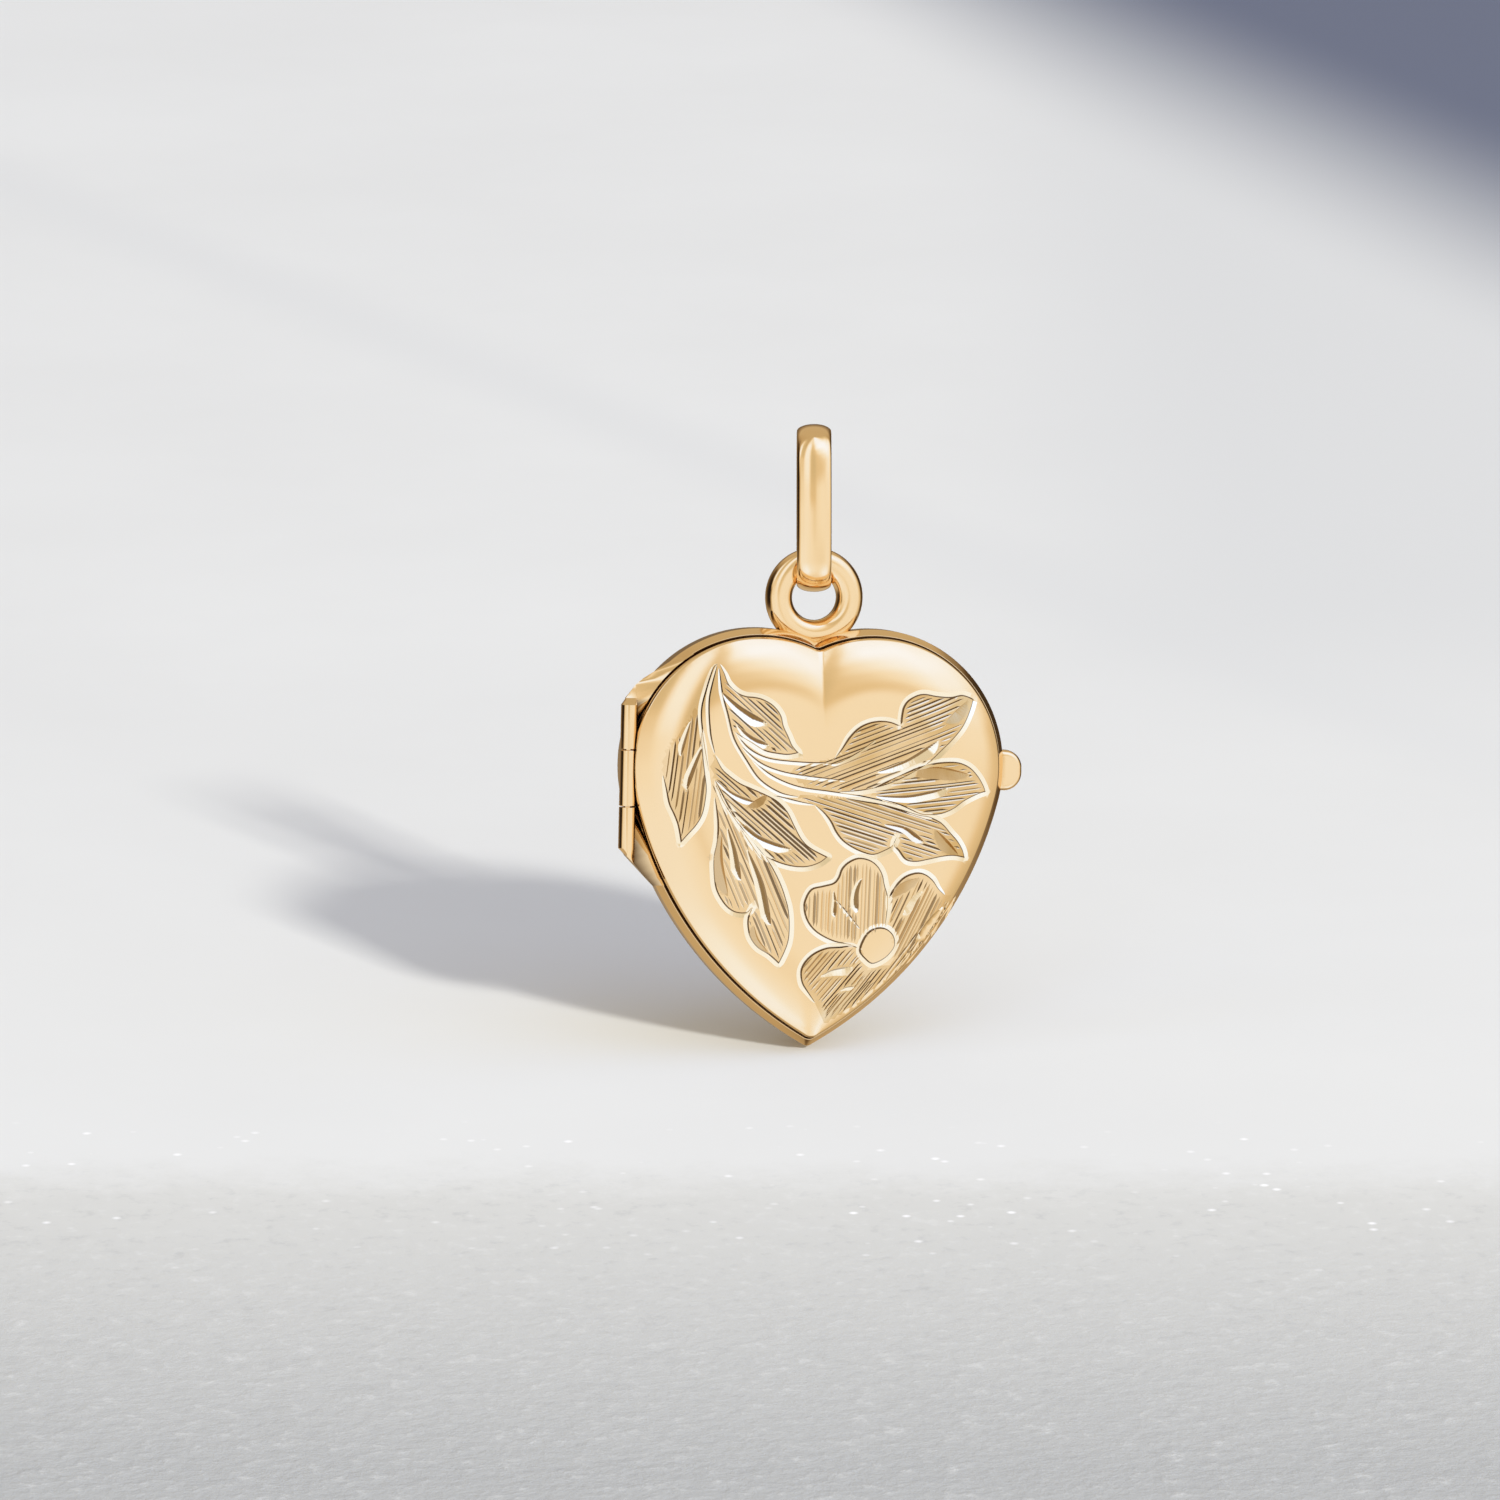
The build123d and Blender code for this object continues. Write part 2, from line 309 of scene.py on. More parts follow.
# Rough slab in front: how far towards the camera it begins, its tones near and far, its ragged edge, and its
# grain, of which the highs are pale, the lows are pits, and each has a strength
ACROSS_VIEW = (0.978, -0.208, 0.0)
SLAB_WAY = (-0.208, -0.978, 0.0)
SLAB_RUN = (0.0142, 0.0205)
SLAB_FADE = (0.018, 0.050)
SLAB_FAR = (0.595, 0.586, 0.530)
SLAB_NEAR = (0.405, 0.405, 0.378)
SLAB_PIT = (0.36, 0.36, 0.34)
RAGGED_NOISE = (320.0, 8.0, 0.8)
RAGGED_REACH = 0.0042
GRAIN_NOISE = (1300.0, 5.0, 0.65)
GRAIN_PALE = 0.35
GRAIN_PALE_RANGE = (0.56, 0.72)
GRAIN_PIT = 0.28
GRAIN_PIT_RANGE = (0.30, 0.44)
GRAIN_HEIGHT = 0.0004
GRAIN_BUMP = 0.30
# Painted glints: bright specks along the slab's edge
SPARKLE_RUN = (0.009, 0.032)
SPARKLE_SCALE = 700.0
SPARKLE_SIZE = 0.15
SPARKLE_TONE = (1.0, 0.98, 0.95)
CLUSTER_NOISE = (120.0, 2.0, 0.5)
CLUSTER_RANGE = (0.40, 0.62)

# Engraving, drawn over the photograph: each row holds points of a line as (px, py) in its 1500 pixels.
# A point given twice is a sharp corner. Blades are closed outlines, and stems are open lines.
BLADES_PX = {
    "far_left_leaf": [
        (696, 708), (688, 722), (677, 736), (669, 746), (664, 760), (663, 775), (666, 789), (669, 804),
        (674, 815), (678, 826), (681, 843), (681, 843), (689, 834), (697, 825), (703, 814), (706, 800),
        (707, 787), (705, 770), (703, 750), (701, 725),
    ],
    "upper_small_leaf": [
        (720, 664), (725, 674), (729, 684), (737, 692), (746, 696), (755, 697), (763, 699), (772, 704),
        (778, 710), (782, 717), (784, 726), (789, 737), (793, 746), (799, 753), (799, 753), (789, 755),
        (778, 754), (765, 751), (752, 743), (742, 737), (735, 732), (728, 715), (722, 693),
    ],
    "right_down_leaf": [
        (712, 768), (715, 755), (722, 768), (729, 775), (740, 783), (751, 788), (769, 796), (779, 802),
        (788, 812), (795, 826), (802, 839), (811, 848), (828, 857), (828, 857), (820, 863), (808, 867),
        (795, 867), (782, 864), (770, 859), (763, 854), (751, 839), (737, 822), (723, 801), (715, 780),
    ],
    "down_leaf": [
        (711, 776), (715, 797), (718, 823), (717, 842), (714, 857), (714, 874), (716, 889), (722, 901),
        (729, 909), (737, 913), (747, 913), (753, 907), (753, 907), (748, 918), (748, 929), (751, 939),
        (758, 948), (769, 955), (779, 964), (779, 964), (785, 952), (789, 940), (790, 925), (789, 910),
        (786, 898), (782, 886), (776, 873), (769, 861), (761, 851), (744, 830), (729, 804),
    ],
    "upper_right_leaf": [
        (792, 770), (836, 757), (842, 749), (850, 737), (859, 728), (869, 723), (880, 721), (891, 722),
        (901, 726), (901, 726), (902, 716), (904, 707), (909, 700), (918, 695), (926, 694), (937, 696),
        (951, 697), (963, 695), (974, 699), (974, 699), (971, 710), (964, 726), (954, 739), (943, 750),
        (929, 763), (913, 773), (897, 781), (880, 787), (860, 791), (839, 792), (818, 789), (804, 785),
    ],
    "right_leaf": [
        (868, 791), (880, 785), (897, 777), (912, 770), (923, 766), (937, 763), (951, 762), (961, 763),
        (971, 768), (979, 777), (984, 786), (986, 792), (986, 792), (979, 794), (965, 801), (954, 809),
        (942, 814), (930, 815), (920, 814), (902, 806), (881, 799),
    ],
    "lower_right_leaf": [
        (799, 796), (846, 798), (863, 801), (881, 804), (900, 809), (919, 815), (930, 817), (942, 823),
        (951, 833), (958, 841), (963, 850), (965, 858), (965, 858), (954, 856), (942, 857), (928, 860),
        (916, 862), (906, 860), (899, 851), (894, 845), (897, 837), (897, 837), (893, 846), (885, 851),
        (874, 855), (864, 853), (853, 848), (843, 841), (836, 832), (831, 822), (824, 813), (815, 805),
    ],
    "top_petal": [
        (858, 946), (846, 944), (835, 942), (822, 936), (813, 929), (807, 920), (804, 908), (806, 898),
        (812, 889), (823, 886), (834, 883), (839, 877), (842, 869), (849, 862), (859, 858), (870, 860),
        (878, 866), (883, 875), (885, 885), (888, 896), (888, 908), (886, 922), (884, 930),
    ],
    "right_petal": [
        (889, 930), (888, 914), (889, 899), (896, 886), (905, 877), (916, 873), (925, 874), (933, 880),
        (939, 889), (945, 895), (959, 895), (950, 912), (938, 930), (920, 950), (905, 964), (893, 962),
        (894, 946),
    ],
    "lower_left_petal": [
        (862, 950), (853, 946), (839, 947), (827, 948), (815, 953), (806, 961), (801, 971), (802, 983),
        (808, 993), (815, 1003), (826, 1018), (852, 1003), (876, 984), (866, 966),
    ],
    "corner_ground": [
        (823, 1022), (828, 1003), (845, 988), (872, 968), (892, 963), (906, 946), (922, 926), (942, 906),
        (958, 893), (950, 910), (930, 938), (905, 966), (876, 990), (850, 1010),
    ],
    "flower_eye": [
        (862, 943), (868, 933), (877, 928), (887, 929), (894, 936), (895, 946), (889, 955), (881, 961),
        (872, 964), (865, 959), (860, 952),
    ],
}

# Which points of a blade the outline cut runs between, where it leaves part open. Closed is None.
BLADE_RUNS = {
    "far_left_leaf": (5, 19),
    "upper_small_leaf": (0, 20),
    "right_down_leaf": (1, 23),
    "down_leaf": (1, 30),
    "upper_right_leaf": (1, 29),
    "right_leaf": (0, 20),
    "lower_right_leaf": (1, 31),
    "top_petal": (0, 22),
    "right_petal": (1, 9),
    "lower_left_petal": (0, 9),
    "corner_ground": (0, 0),
    "flower_eye": None,
}

# Stems and veins, cut as single lines
STEMS_PX = [
    [(718, 664), (713, 668), (706, 689), (701, 711), (703, 737), (709, 772)],
    [(717, 665), (709, 698), (710, 731), (715, 754)],
    [(769, 795), (779, 797), (799, 802), (815, 805)],
    [(719, 668), (722, 693), (728, 716), (734, 739), (746, 760), (760, 780), (780, 793), (799, 797)],
    [(736, 733), (748, 748), (766, 758), (792, 762), (824, 763), (836, 757)],
    [(742, 747), (760, 763), (782, 772), (810, 777), (846, 781)],
    [(752, 760), (772, 776), (798, 787), (830, 792), (863, 797), (900, 806), (919, 814)],
    [(824, 764), (836, 764), (846, 760), (860, 752), (872, 743), (879, 737)],
    [(834, 898), (843, 908), (852, 919), (860, 929)],
    [(715, 780), (726, 802), (744, 834), (762, 860)],
]

# Broad facets of the graver: width in millimetres, painted tone of the facet (above 0 a painted highlight, 1
# the full one, below 0 painted shade), line
GOUGES_PX = [
    (0.22, 1.0, [(691, 721), (686, 738), (681, 756)]),
    (0.30, 1.0, [(704, 744), (695, 768), (687, 790)]),
    (0.42, 1.0, [(722, 692), (742, 708), (767, 723)]),
    (0.34, 1.0, [(737, 725), (752, 737), (769, 745)]),
    (0.22, 0.9, [(716, 780), (734, 794), (757, 803)]),
    (0.32, 1.0, [(731, 813), (758, 836), (791, 849)]),
    (0.34, 1.0, [(728, 828), (736, 852), (741, 880)]),
    (0.36, 1.0, [(748, 850), (763, 884), (771, 925)]),
    (0.38, 1.0, [(878, 772), (908, 760), (938, 741)]),
    (0.30, 1.0, [(876, 796), (910, 796), (948, 788)]),
    (0.30, 0.7, [(884, 824), (906, 828), (924, 842)]),
    (0.22, 0.9, [(834, 891), (836, 903), (835, 917)]),
    (0.34, 1.0, [(862, 879), (858, 893), (858, 911)]),
    (0.30, 1.0, [(922, 891), (912, 899), (903, 914)]),
    (0.40, 1.0, [(942, 907), (930, 919), (917, 937)]),
    (0.32, 1.0, [(821, 976), (834, 970), (852, 967)]),
    (0.14, 1.0, [(840, 991), (846, 988), (854, 987)]),
    (0.50, -0.30, [(722, 836), (722, 862), (728, 894)]),
    (0.46, -0.28, [(912, 772), (938, 768), (968, 774)]),
    (0.30, -0.35, [(748, 806), (756, 801), (766, 795)]),
    (0.44, -0.28, [(936, 830), (948, 842), (958, 854)]),
    (0.40, -0.25, [(946, 722), (956, 712), (966, 702)]),
    (0.36, -0.28, [(754, 926), (758, 940), (768, 952)]),
    (0.40, -0.25, [(892, 896), (902, 884), (918, 878)]),
]

# Parallel shading lines: blade, direction in degrees on the face, gap in millimetres, strength of the
# painted shade on the lines' dark walls, and how much painted shade the ground between them gets
SHADING = [
    ("far_left_leaf", 84, 0.19, 0.55, 0.45),
    ("upper_small_leaf", -41, 0.17, 0.75, 0.45),
    ("right_down_leaf", -40, 0.17, 0.85, 0.50),
    ("down_leaf", -66, 0.18, 0.40, 0.15),
    ("upper_right_leaf", 21, 0.17, 0.75, 0.75),
    ("right_leaf", 6, 0.17, 0.90, 0.95),
    ("lower_right_leaf", -17, 0.17, 0.85, 0.85),
    ("top_petal", 89, 0.16, 0.28, 0.05),
    ("right_petal", 66, 0.17, 0.42, 0.25),
    ("lower_left_petal", 51, 0.17, 0.60, 0.65),
    ("corner_ground", 54, 0.16, 0.70, 0.60),
]

# Sections of the cuts, in millimetres: width of the bright wall, width of the dark wall, depth
OUTLINE_CUT = (0.170, 0.048, 0.064)
STEM_CUT = (0.120, 0.048, 0.050)
SHADING_CUT = (0.050, 0.060, 0.036)
GOUGE_SLOPE = 0.50
PATCH_SLOPE = 0.28
GOUGE_DARK_WALL = 0.045
OUTLINE_TAPER = (0.9, 0.9)
GOUGE_TAPER = (1.6, 0.5)
SHADING_TAPER = (0.25, 0.25)
SHADING_STOP = 0.09
# Painted shade on the narrow wall of a bright gouge
GOUGE_PAINTED_SHADE = -0.8

# Shading lines: the steps along them, the shortest that is cut, how far chance moves them across (in gaps)
# and at their ends (in millimetres), and how it changes their size and the painted highlight and painted
# shade on their walls
HATCH_SEED = 7
HATCH_STEP = 0.05
HATCH_SHORTEST = 0.2
HATCH_SHIFT = 0.22
HATCH_END_SHIFT = 0.12
HATCH_SIZES = (0.55, 1.3)
HATCH_PAINTED_HIGHLIGHT = (0.0, 0.5)
HATCH_PAINTED_SHADE = (0.5, 2.4)

# Which side the key light is on, mesh lines beside the crease between the lobes, and steps of the line work
KEY_SIDE = (0.5, 0.85)
CREASE_LINES = (-0.12, -0.05, 0.0, 0.05, 0.12)
CREASE_LINE_START = 0.25
CREASE_LINE_POINTS = 40
CURVE_STEP = 0.12
SIGHT_PASSES = 6
SLOPE_STEP = 0.002
PROBE_STEP = 0.001
PROBE_SHARE = 0.25


def to_row(rows):
    """Rows of points of the locket's own frame, in millimetres, as points of the row frame in metres."""
    return (np.vstack(rows) @ LOCAL_AXES + np.array(LOCAL_ORIGIN)) * MM


def own_places(mesh):
    """A mesh's vertices in the locket's own frame, in millimetres."""
    places = np.array([vertex.co for vertex in mesh.vertices]) / MM - np.array(LOCAL_ORIGIN)
    return places @ LOCAL_AXES.T


def node_group(material):
    """The material's node tree, emptied but for the output and the shader."""
    material.use_nodes = True
    tree = material.node_tree
    tree.nodes.clear()
    output = tree.nodes.new("ShaderNodeOutputMaterial")
    shader = tree.nodes.new("ShaderNodeBsdfPrincipled")
    tree.links.new(shader.outputs["BSDF"], output.inputs["Surface"])
    return tree, shader


def add_node(tree, kind, output, inputs, **settings):
    """One output of a new shader node, with its inputs set to values or linked to other nodes' outputs."""
    node = tree.nodes.new("ShaderNode" + kind)
    for name, value in settings.items():
        setattr(node, name, value)
    for socket, value in inputs.items():
        if isinstance(value, bpy.types.NodeSocket):
            tree.links.new(value, node.inputs[socket])
        else:
            node.inputs[socket].default_value = value
    return node.outputs[output]


def noise(tree, place, scale, detail, roughness):
    """A noise texture at a scale, in waves to a metre."""
    inputs = {"Vector": place, "Scale": scale, "Detail": detail, "Roughness": roughness}
    return add_node(tree, "TexNoise", "Fac", inputs)


def spread_range(tree, value, low, high, from_low=0.0, from_high=1.0, way="LINEAR"):
    """A value moved from one range to another."""
    inputs = {"Value": value, "From Min": from_low, "From Max": from_high, "To Min": low, "To Max": high}
    return add_node(tree, "MapRange", "Result", inputs, interpolation_type=way)


def smooth_range(tree, value, low, high, from_low, from_high):
    """A value moved from one range to another, eased at both ends."""
    return spread_range(tree, value, low, high, from_low, from_high, "SMOOTHSTEP")


def maths(tree, operation, first, second):
    """A sum on two values, the second a number or another node's output."""
    return add_node(tree, "Math", "Value", {0: first, 1: second}, operation=operation)


def mix_colours(tree, first, second, share):
    """A blend of two colours, each a colour or another node's output."""
    inputs = {"Factor": share}
    for socket, colour in (("A", first), ("B", second)):
        inputs[socket] = (*colour, 1) if isinstance(colour, tuple) else colour
    return add_node(tree, "Mix", "Result", inputs, data_type="RGBA")


def mark_on_mesh(tree, name):
    """The value of a mesh attribute."""
    return add_node(tree, "Attribute", "Fac", {}, attribute_name=name)


def gold(name, smooth, worn):
    """Polished gold with slight changes of tone, buffing haze and fine marks, with painted highlight and
    painted shade on its cut walls, painted shade in deep grooves, and painted shade on the hatched ground.
    """
    material = bpy.data.materials.new(name)
    tree, shader = node_group(material)
    place = add_node(tree, "TexCoord", "Object", {})
    colour = mix_colours(tree, GOLD_DEEP, GOLD_PALE, noise(tree, place, *GOLD_NOISE))
    # Painted shade on the hatched ground, in noisy patches
    patches = spread_range(tree, noise(tree, place, *GROUND_NOISE), *PAINTED_SHADE_GROUND_SHARE, *GROUND_RANGE)
    ground_shade_mix = maths(tree, "MULTIPLY", patches, mark_on_mesh(tree, "shaded"))
    colour = mix_colours(tree, colour, PAINTED_SHADE_GROUND, ground_shade_mix)
    # Painted highlight on the bright walls of cuts, and painted shade on their dark walls and in deep grooves
    walls = mark_on_mesh(tree, "painted_light_and_shade")
    colour = mix_colours(tree, colour, PAINTED_HIGHLIGHT_TONE, spread_range(tree, walls, 0, PAINTED_HIGHLIGHT_TONE_SHARE))
    colour = mix_colours(tree, colour, PAINTED_SHADE_TONE, spread_range(tree, walls, PAINTED_SHADE_TONE_SHARE, 0, -1, 0))
    tree.links.new(colour, shader.inputs["Base Color"])
    haze = noise(tree, place, *HAZE_NOISE)
    tree.links.new(spread_range(tree, haze, smooth, worn, *HAZE_RANGE), shader.inputs["Roughness"])
    shader.inputs["Metallic"].default_value = 1.0
    return material


POLISHED = gold("polished_gold", smooth=0.07, worn=0.13)
ENGRAVED = gold("engraved_gold", smooth=0.09, worn=0.15)
for node in frame["nodes"].values():
    node.data.materials.clear()
    node.data.materials.append(POLISHED)


def make_piece(name, points, faces, body="case", material=POLISHED):
    """A mesh piece of the object, from points of the row frame in metres."""
    mesh = bpy.data.meshes.new(name)
    mesh.from_pydata(np.asarray(points).tolist(), [], faces)
    work = bmesh.new()
    work.from_mesh(mesh)
    bmesh.ops.remove_doubles(work, verts=work.verts, dist=WELD * MM)
    bmesh.ops.recalc_face_normals(work, faces=work.faces)
    work.to_mesh(mesh)
    work.free()
    mesh.shade_smooth()
    mesh.materials.append(material)
    piece = bpy.data.objects.new(name, mesh)
    bpy.context.scene.collection.objects.link(piece)
    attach(piece, body)
    return piece


def weigh_normals(piece):
    """Large faces set the shading, so that flats stay flat beside small roundings."""
    modifier = piece.modifiers.new("weighted normals", "WEIGHTED_NORMAL")
    modifier.weight = 100
    modifier.keep_sharp = True


def bevel_edges(piece, width):
    """Round every edge that turns by more than 30 degrees."""
    modifier = piece.modifiers.new("edge round", "BEVEL")
    modifier.limit_method = "ANGLE"
    modifier.angle_limit = radians(30)
    modifier.width = width * MM
    modifier.segments = 3
    weigh_normals(piece)


def paint_shade(piece, is_dark):
    """Mark the vertices in a deep groove, where light doesn't reach, for painted shade."""
    dark = is_dark(*own_places(piece.data).T)
    marks = piece.data.attributes.new("painted_light_and_shade", "FLOAT", "POINT")
    marks.data.foreach_set("value", np.where(dark, -1.0, 0.0))


def grid_faces(rows, columns, wrap_rows=False):
    """Quads between rows of points, each row a closed loop."""
    faces = []
    for row in range(rows if wrap_rows else rows - 1):
        below = row * columns
        above = (row + 1) % rows * columns
        for column in range(columns):
            after = (column + 1) % columns
            faces.append((below + column, below + after, above + after, above + column))
    return faces


def shell_faces(row_count, columns):
    """Faces of a shell whose first and last rows are closed by a cap."""
    faces = grid_faces(row_count, columns)
    faces.append(tuple(range(columns)))
    last = (row_count - 1) * columns
    faces.append(tuple(range(last, last + columns)))
    return faces


def arc(centre, radius, start, end, count):
    """Points of an arc, without its last point."""
    turn = start + (end - start) * np.arange(count) / count
    return np.column_stack([centre[0] + radius * np.cos(turn), centre[1] + radius * np.sin(turn)])


def lower_centre():
    """Centre of the right lower side, which passes the tip and touches the lobe from inside."""
    span = sqrt(lobe_x**2 + lobe_z**2)
    from_lobe = lower_radius - lobe_radius
    along = (from_lobe**2 - lower_radius**2 + span**2) / (2 * span)
    across = sqrt(from_lobe**2 - along**2)
    foot_x = lobe_x - lobe_x * along / span
    foot_z = lobe_z - lobe_z * along / span
    return (foot_x - across * lobe_z / span, foot_z + across * lobe_x / span)


LOBE = (lobe_x, lobe_z)
LOWER = lower_centre()
NOTCH = (0.0, lobe_z + sqrt((lobe_radius + notch_radius) ** 2 - lobe_x**2))


def heart_loop(inset):
    """The heart outline at an inset, clockwise from the notch, with the same count at every inset."""
    lower_r = lower_radius - inset
    tip_r = tip_radius + tip_softening * inset
    tip = (0.0, LOWER[1] - sqrt((lower_r - tip_r) ** 2 - LOWER[0] ** 2))
    notch_turn = atan2(LOBE[1] - NOTCH[1], LOBE[0] - NOTCH[0])
    lobe_turn = atan2(NOTCH[1] - LOBE[1], NOTCH[0] - LOBE[0])
    side_turn = atan2(LOBE[1] - LOWER[1], LOBE[0] - LOWER[0])
    tip_turn = atan2(tip[1] - LOWER[1], tip[0] - LOWER[0])
    right = np.vstack(
        [
            arc(NOTCH, notch_radius + inset, -pi / 2, notch_turn, ARC_COUNTS["notch"]),
            arc(LOBE, lobe_radius - inset, lobe_turn, side_turn, ARC_COUNTS["lobe"]),
            arc(LOWER, lower_r, side_turn, tip_turn, ARC_COUNTS["lower"]),
            arc(tip, tip_r, tip_turn, -pi / 2, ARC_COUNTS["tip"]),
            [(0.0, tip[1] - tip_r)],
        ]
    )
    left = right[-2:0:-1] * (-1, 1)
    return np.vstack([right, left])


# Blends that bring the rounded notch and tip of the outline to distance zero
notch_bottom_z = NOTCH[1] - notch_radius
tip_bottom_z = heart_loop(0.0)[:, 1].min()
CREASE_BLEND = 4 * (sqrt(lobe_x**2 + (notch_bottom_z - lobe_z) ** 2) - lobe_radius)
RIDGE_BLEND = 4 * (lower_radius - sqrt(LOWER[0] ** 2 + (tip_bottom_z - LOWER[1]) ** 2))


def smooth_max(a, b, blend):
    """The larger of two fields, rounded where they cross."""
    near = np.maximum(blend - np.abs(a - b), 0) / blend
    return np.maximum(a, b) + near**2 * blend / 4


def edge_distance(x, z):
    """Distance in from the outline: above, the lobes meet in a crease, and below, the sides in a ridge."""
    right = np.abs(x)
    lobe_near = lobe_radius - np.hypot(right - LOBE[0], z - LOBE[1])
    lobe_far = lobe_radius - np.hypot(right + LOBE[0], z - LOBE[1])
    lower_near = lower_radius - np.hypot(right - LOWER[0], z - LOWER[1])
    lower_far = lower_radius - np.hypot(right + LOWER[0], z - LOWER[1])
    crease = CREASE_BLEND / (1 + crease_fade * np.maximum(np.maximum(lobe_near, lobe_far), 0))
    lobes = smooth_max(lobe_near, lobe_far, crease)
    ridge = RIDGE_BLEND + ridge_spread * np.maximum(lower_near, 0)
    sides = -smooth_max(-lower_near, -lower_far, ridge)
    turn = (LOBE[0] - LOWER[0]) * (z - LOWER[1]) - (LOBE[1] - LOWER[1]) * (right - LOWER[0])
    return np.where(turn > 0, lobes, sides)


def round_corners(path, radii):
    """A path of (inset, depth) points with its inner corners rounded."""
    path = [np.array(p, float) for p in path]
    made = [path[0]]
    for before, corner, after, radius in zip(path, path[1:], path[2:], radii):
        if radius == 0:
            made.append(corner)
            continue
        back = (before - corner) / np.linalg.norm(before - corner)
        ahead = (after - corner) / np.linalg.norm(after - corner)
        half = np.arccos(np.clip(back @ ahead, -1, 1)) / 2
        run = radius / np.tan(half)
        centre = corner + (back + ahead) / np.linalg.norm(back + ahead) * radius / np.sin(half)
        start = corner + back * run - centre
        end = corner + ahead * run - centre
        for step in range(CORNER_STEPS + 1):
            share = step / CORNER_STEPS
            spoke = start * (1 - share) + end * share
            made.append(centre + spoke / np.linalg.norm(spoke) * radius)
    made.append(path[-1])
    return made


def dome_path(inset, base_y, rise, spread, edge_slope):
    """Rim to flat of a dome whose section is an arc that leaves the rim at a slope."""
    path = []
    for step in range(DOME_STEPS + 1):
        turn = edge_slope * (1 - step / DOME_STEPS)
        rise_share = (cos(turn) - cos(edge_slope)) / (1 - cos(edge_slope))
        inset_share = 1 - sin(turn) / sin(edge_slope)
        path.append((inset + spread * inset_share, base_y + rise * rise_share))
    return path


def row_at(loop, depth):
    """A loop of (x, z) as a row of points at a depth."""
    return np.column_stack([loop[:, 0], depth + np.zeros(len(loop)), loop[:, 1]])


def heart_rows(path):
    """A row of points round the heart for each (inset, depth) of a path."""
    return [row_at(heart_loop(inset), depth) for inset, depth in path]


def relieve_hinge(points, low, high):
    """Keep what lies between two heights to the right of the room that the hinge turns in."""
    room = np.sqrt(np.maximum(relief_radius**2 - points[:, 1] ** 2, 0))
    near = (room > 0) & (points[:, 2] > low) & (points[:, 2] < high)
    points[near, 0] = np.maximum(points[near, 0], hinge_x + room[near])
    return points


def clear_bearing(rows):
    """Keep inner rows clear of the solid metal beside the hinge."""
    for row in rows:
        row[:, 0] = np.maximum(row[:, 0], bearing_x)
    return rows


def case_shell():
    """Deep half of the locket, outside and inside."""
    gap_y = mouth + shadow_gap_start
    gap_end_y = gap_y + shadow_gap_depth
    outside = dome_path(
        -case_margin, case_side_y, case_dome_rise, case_dome_spread, case_dome_edge_slope
    )[::-1]
    rim = [
        outside[-1],
        (-case_margin, mouth + band_depth),
        (-shadow_gap, gap_y),
        (-shadow_gap, gap_end_y),
        (mouth_step, gap_end_y),
        (mouth_step, mouth),
        (wall, mouth),
        (wall, case_side_y),
    ]
    radii = [band_round, shadow_gap_round, 0.0, 0.0, shadow_gap_round, edge_round]
    inner_rise = case_dome_rise - wall
    inner_spread = case_dome_spread - case_margin - wall / 2
    inside = dome_path(wall, case_side_y, inner_rise, inner_spread, case_dome_edge_slope)
    outer_rows = heart_rows(outside[:-1] + round_corners(rim, radii)[:-1])
    rows = outer_rows + clear_bearing(heart_rows(inside))
    knuckle_room = (knuckle_low_z - knuckle_end_gap, knuckle_high_z + knuckle_end_gap)
    points = relieve_hinge(np.vstack(rows), *knuckle_room)
    piece = make_piece("case_shell", to_row(points), shell_faces(len(rows), len(rows[0])))
    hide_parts("back_case")

    # Painted shade in the groove round the cover and on the case beside the knuckle
    def in_groove(x, y, z):
        inset = edge_distance(x, z)
        level = y - gap_y
        under_edge = (inset > painted_shade_groove_inset[0]) & (inset < painted_shade_groove_inset[1])
        under_edge &= (level > painted_shade_groove_depth[0]) & (level < painted_shade_groove_depth[1])
        beside_knuckle = (x < bearing_x) & (level < 0) & (inset > 0)
        return under_edge | beside_knuckle

    paint_shade(piece, in_groove)
    weigh_normals(piece)


def snap_lip():
    """Low wall inside the mouth that the cover presses over."""
    outer = wall + lip_clearance
    inner = outer + lip_thickness
    path = [(outer, lip_root), (outer, -lip_reach), (inner, -lip_reach), (inner, lip_root)]
    path = round_corners(path, [lip_round, lip_round])
    rows = heart_rows(path)
    for (inset, _), row in zip(path, rows):
        row[:, 0] = np.maximum(row[:, 0], bearing_x + inset - wall)
    faces = grid_faces(len(rows), len(rows[0]), wrap_rows=True)
    weigh_normals(make_piece("snap_lip", to_row(rows), faces))


def middle_knuckle():
    """The cover's knuckle: a round bar on the hinge line with rounded ends."""
    corners = [
        (0, knuckle_low_z),
        (hinge_radius, knuckle_low_z),
        (hinge_radius, knuckle_high_z),
        (0, knuckle_high_z),
    ]
    profile = round_corners(corners, [edge_round, edge_round])
    turns = np.arange(KNUCKLE_STEPS) * 2 * pi / KNUCKLE_STEPS
    rows = []
    for reach, z in profile[1:-1]:
        row = [hinge_x + reach * np.cos(turns), reach * np.sin(turns), np.full(KNUCKLE_STEPS, z)]
        rows.append(np.column_stack(row))
    faces = shell_faces(len(rows), KNUCKLE_STEPS)
    piece = make_piece("middle_knuckle", to_row(rows), faces, "cover")
    # Painted shade on the side of the knuckle that faces the cover
    shade_x = hinge_x + painted_shade_knuckle_from * hinge_radius
    shade_y = painted_shade_knuckle_front * hinge_radius
    paint_shade(piece, lambda x, y, z: (x > shade_x) & (y > shade_y))
    weigh_normals(piece)


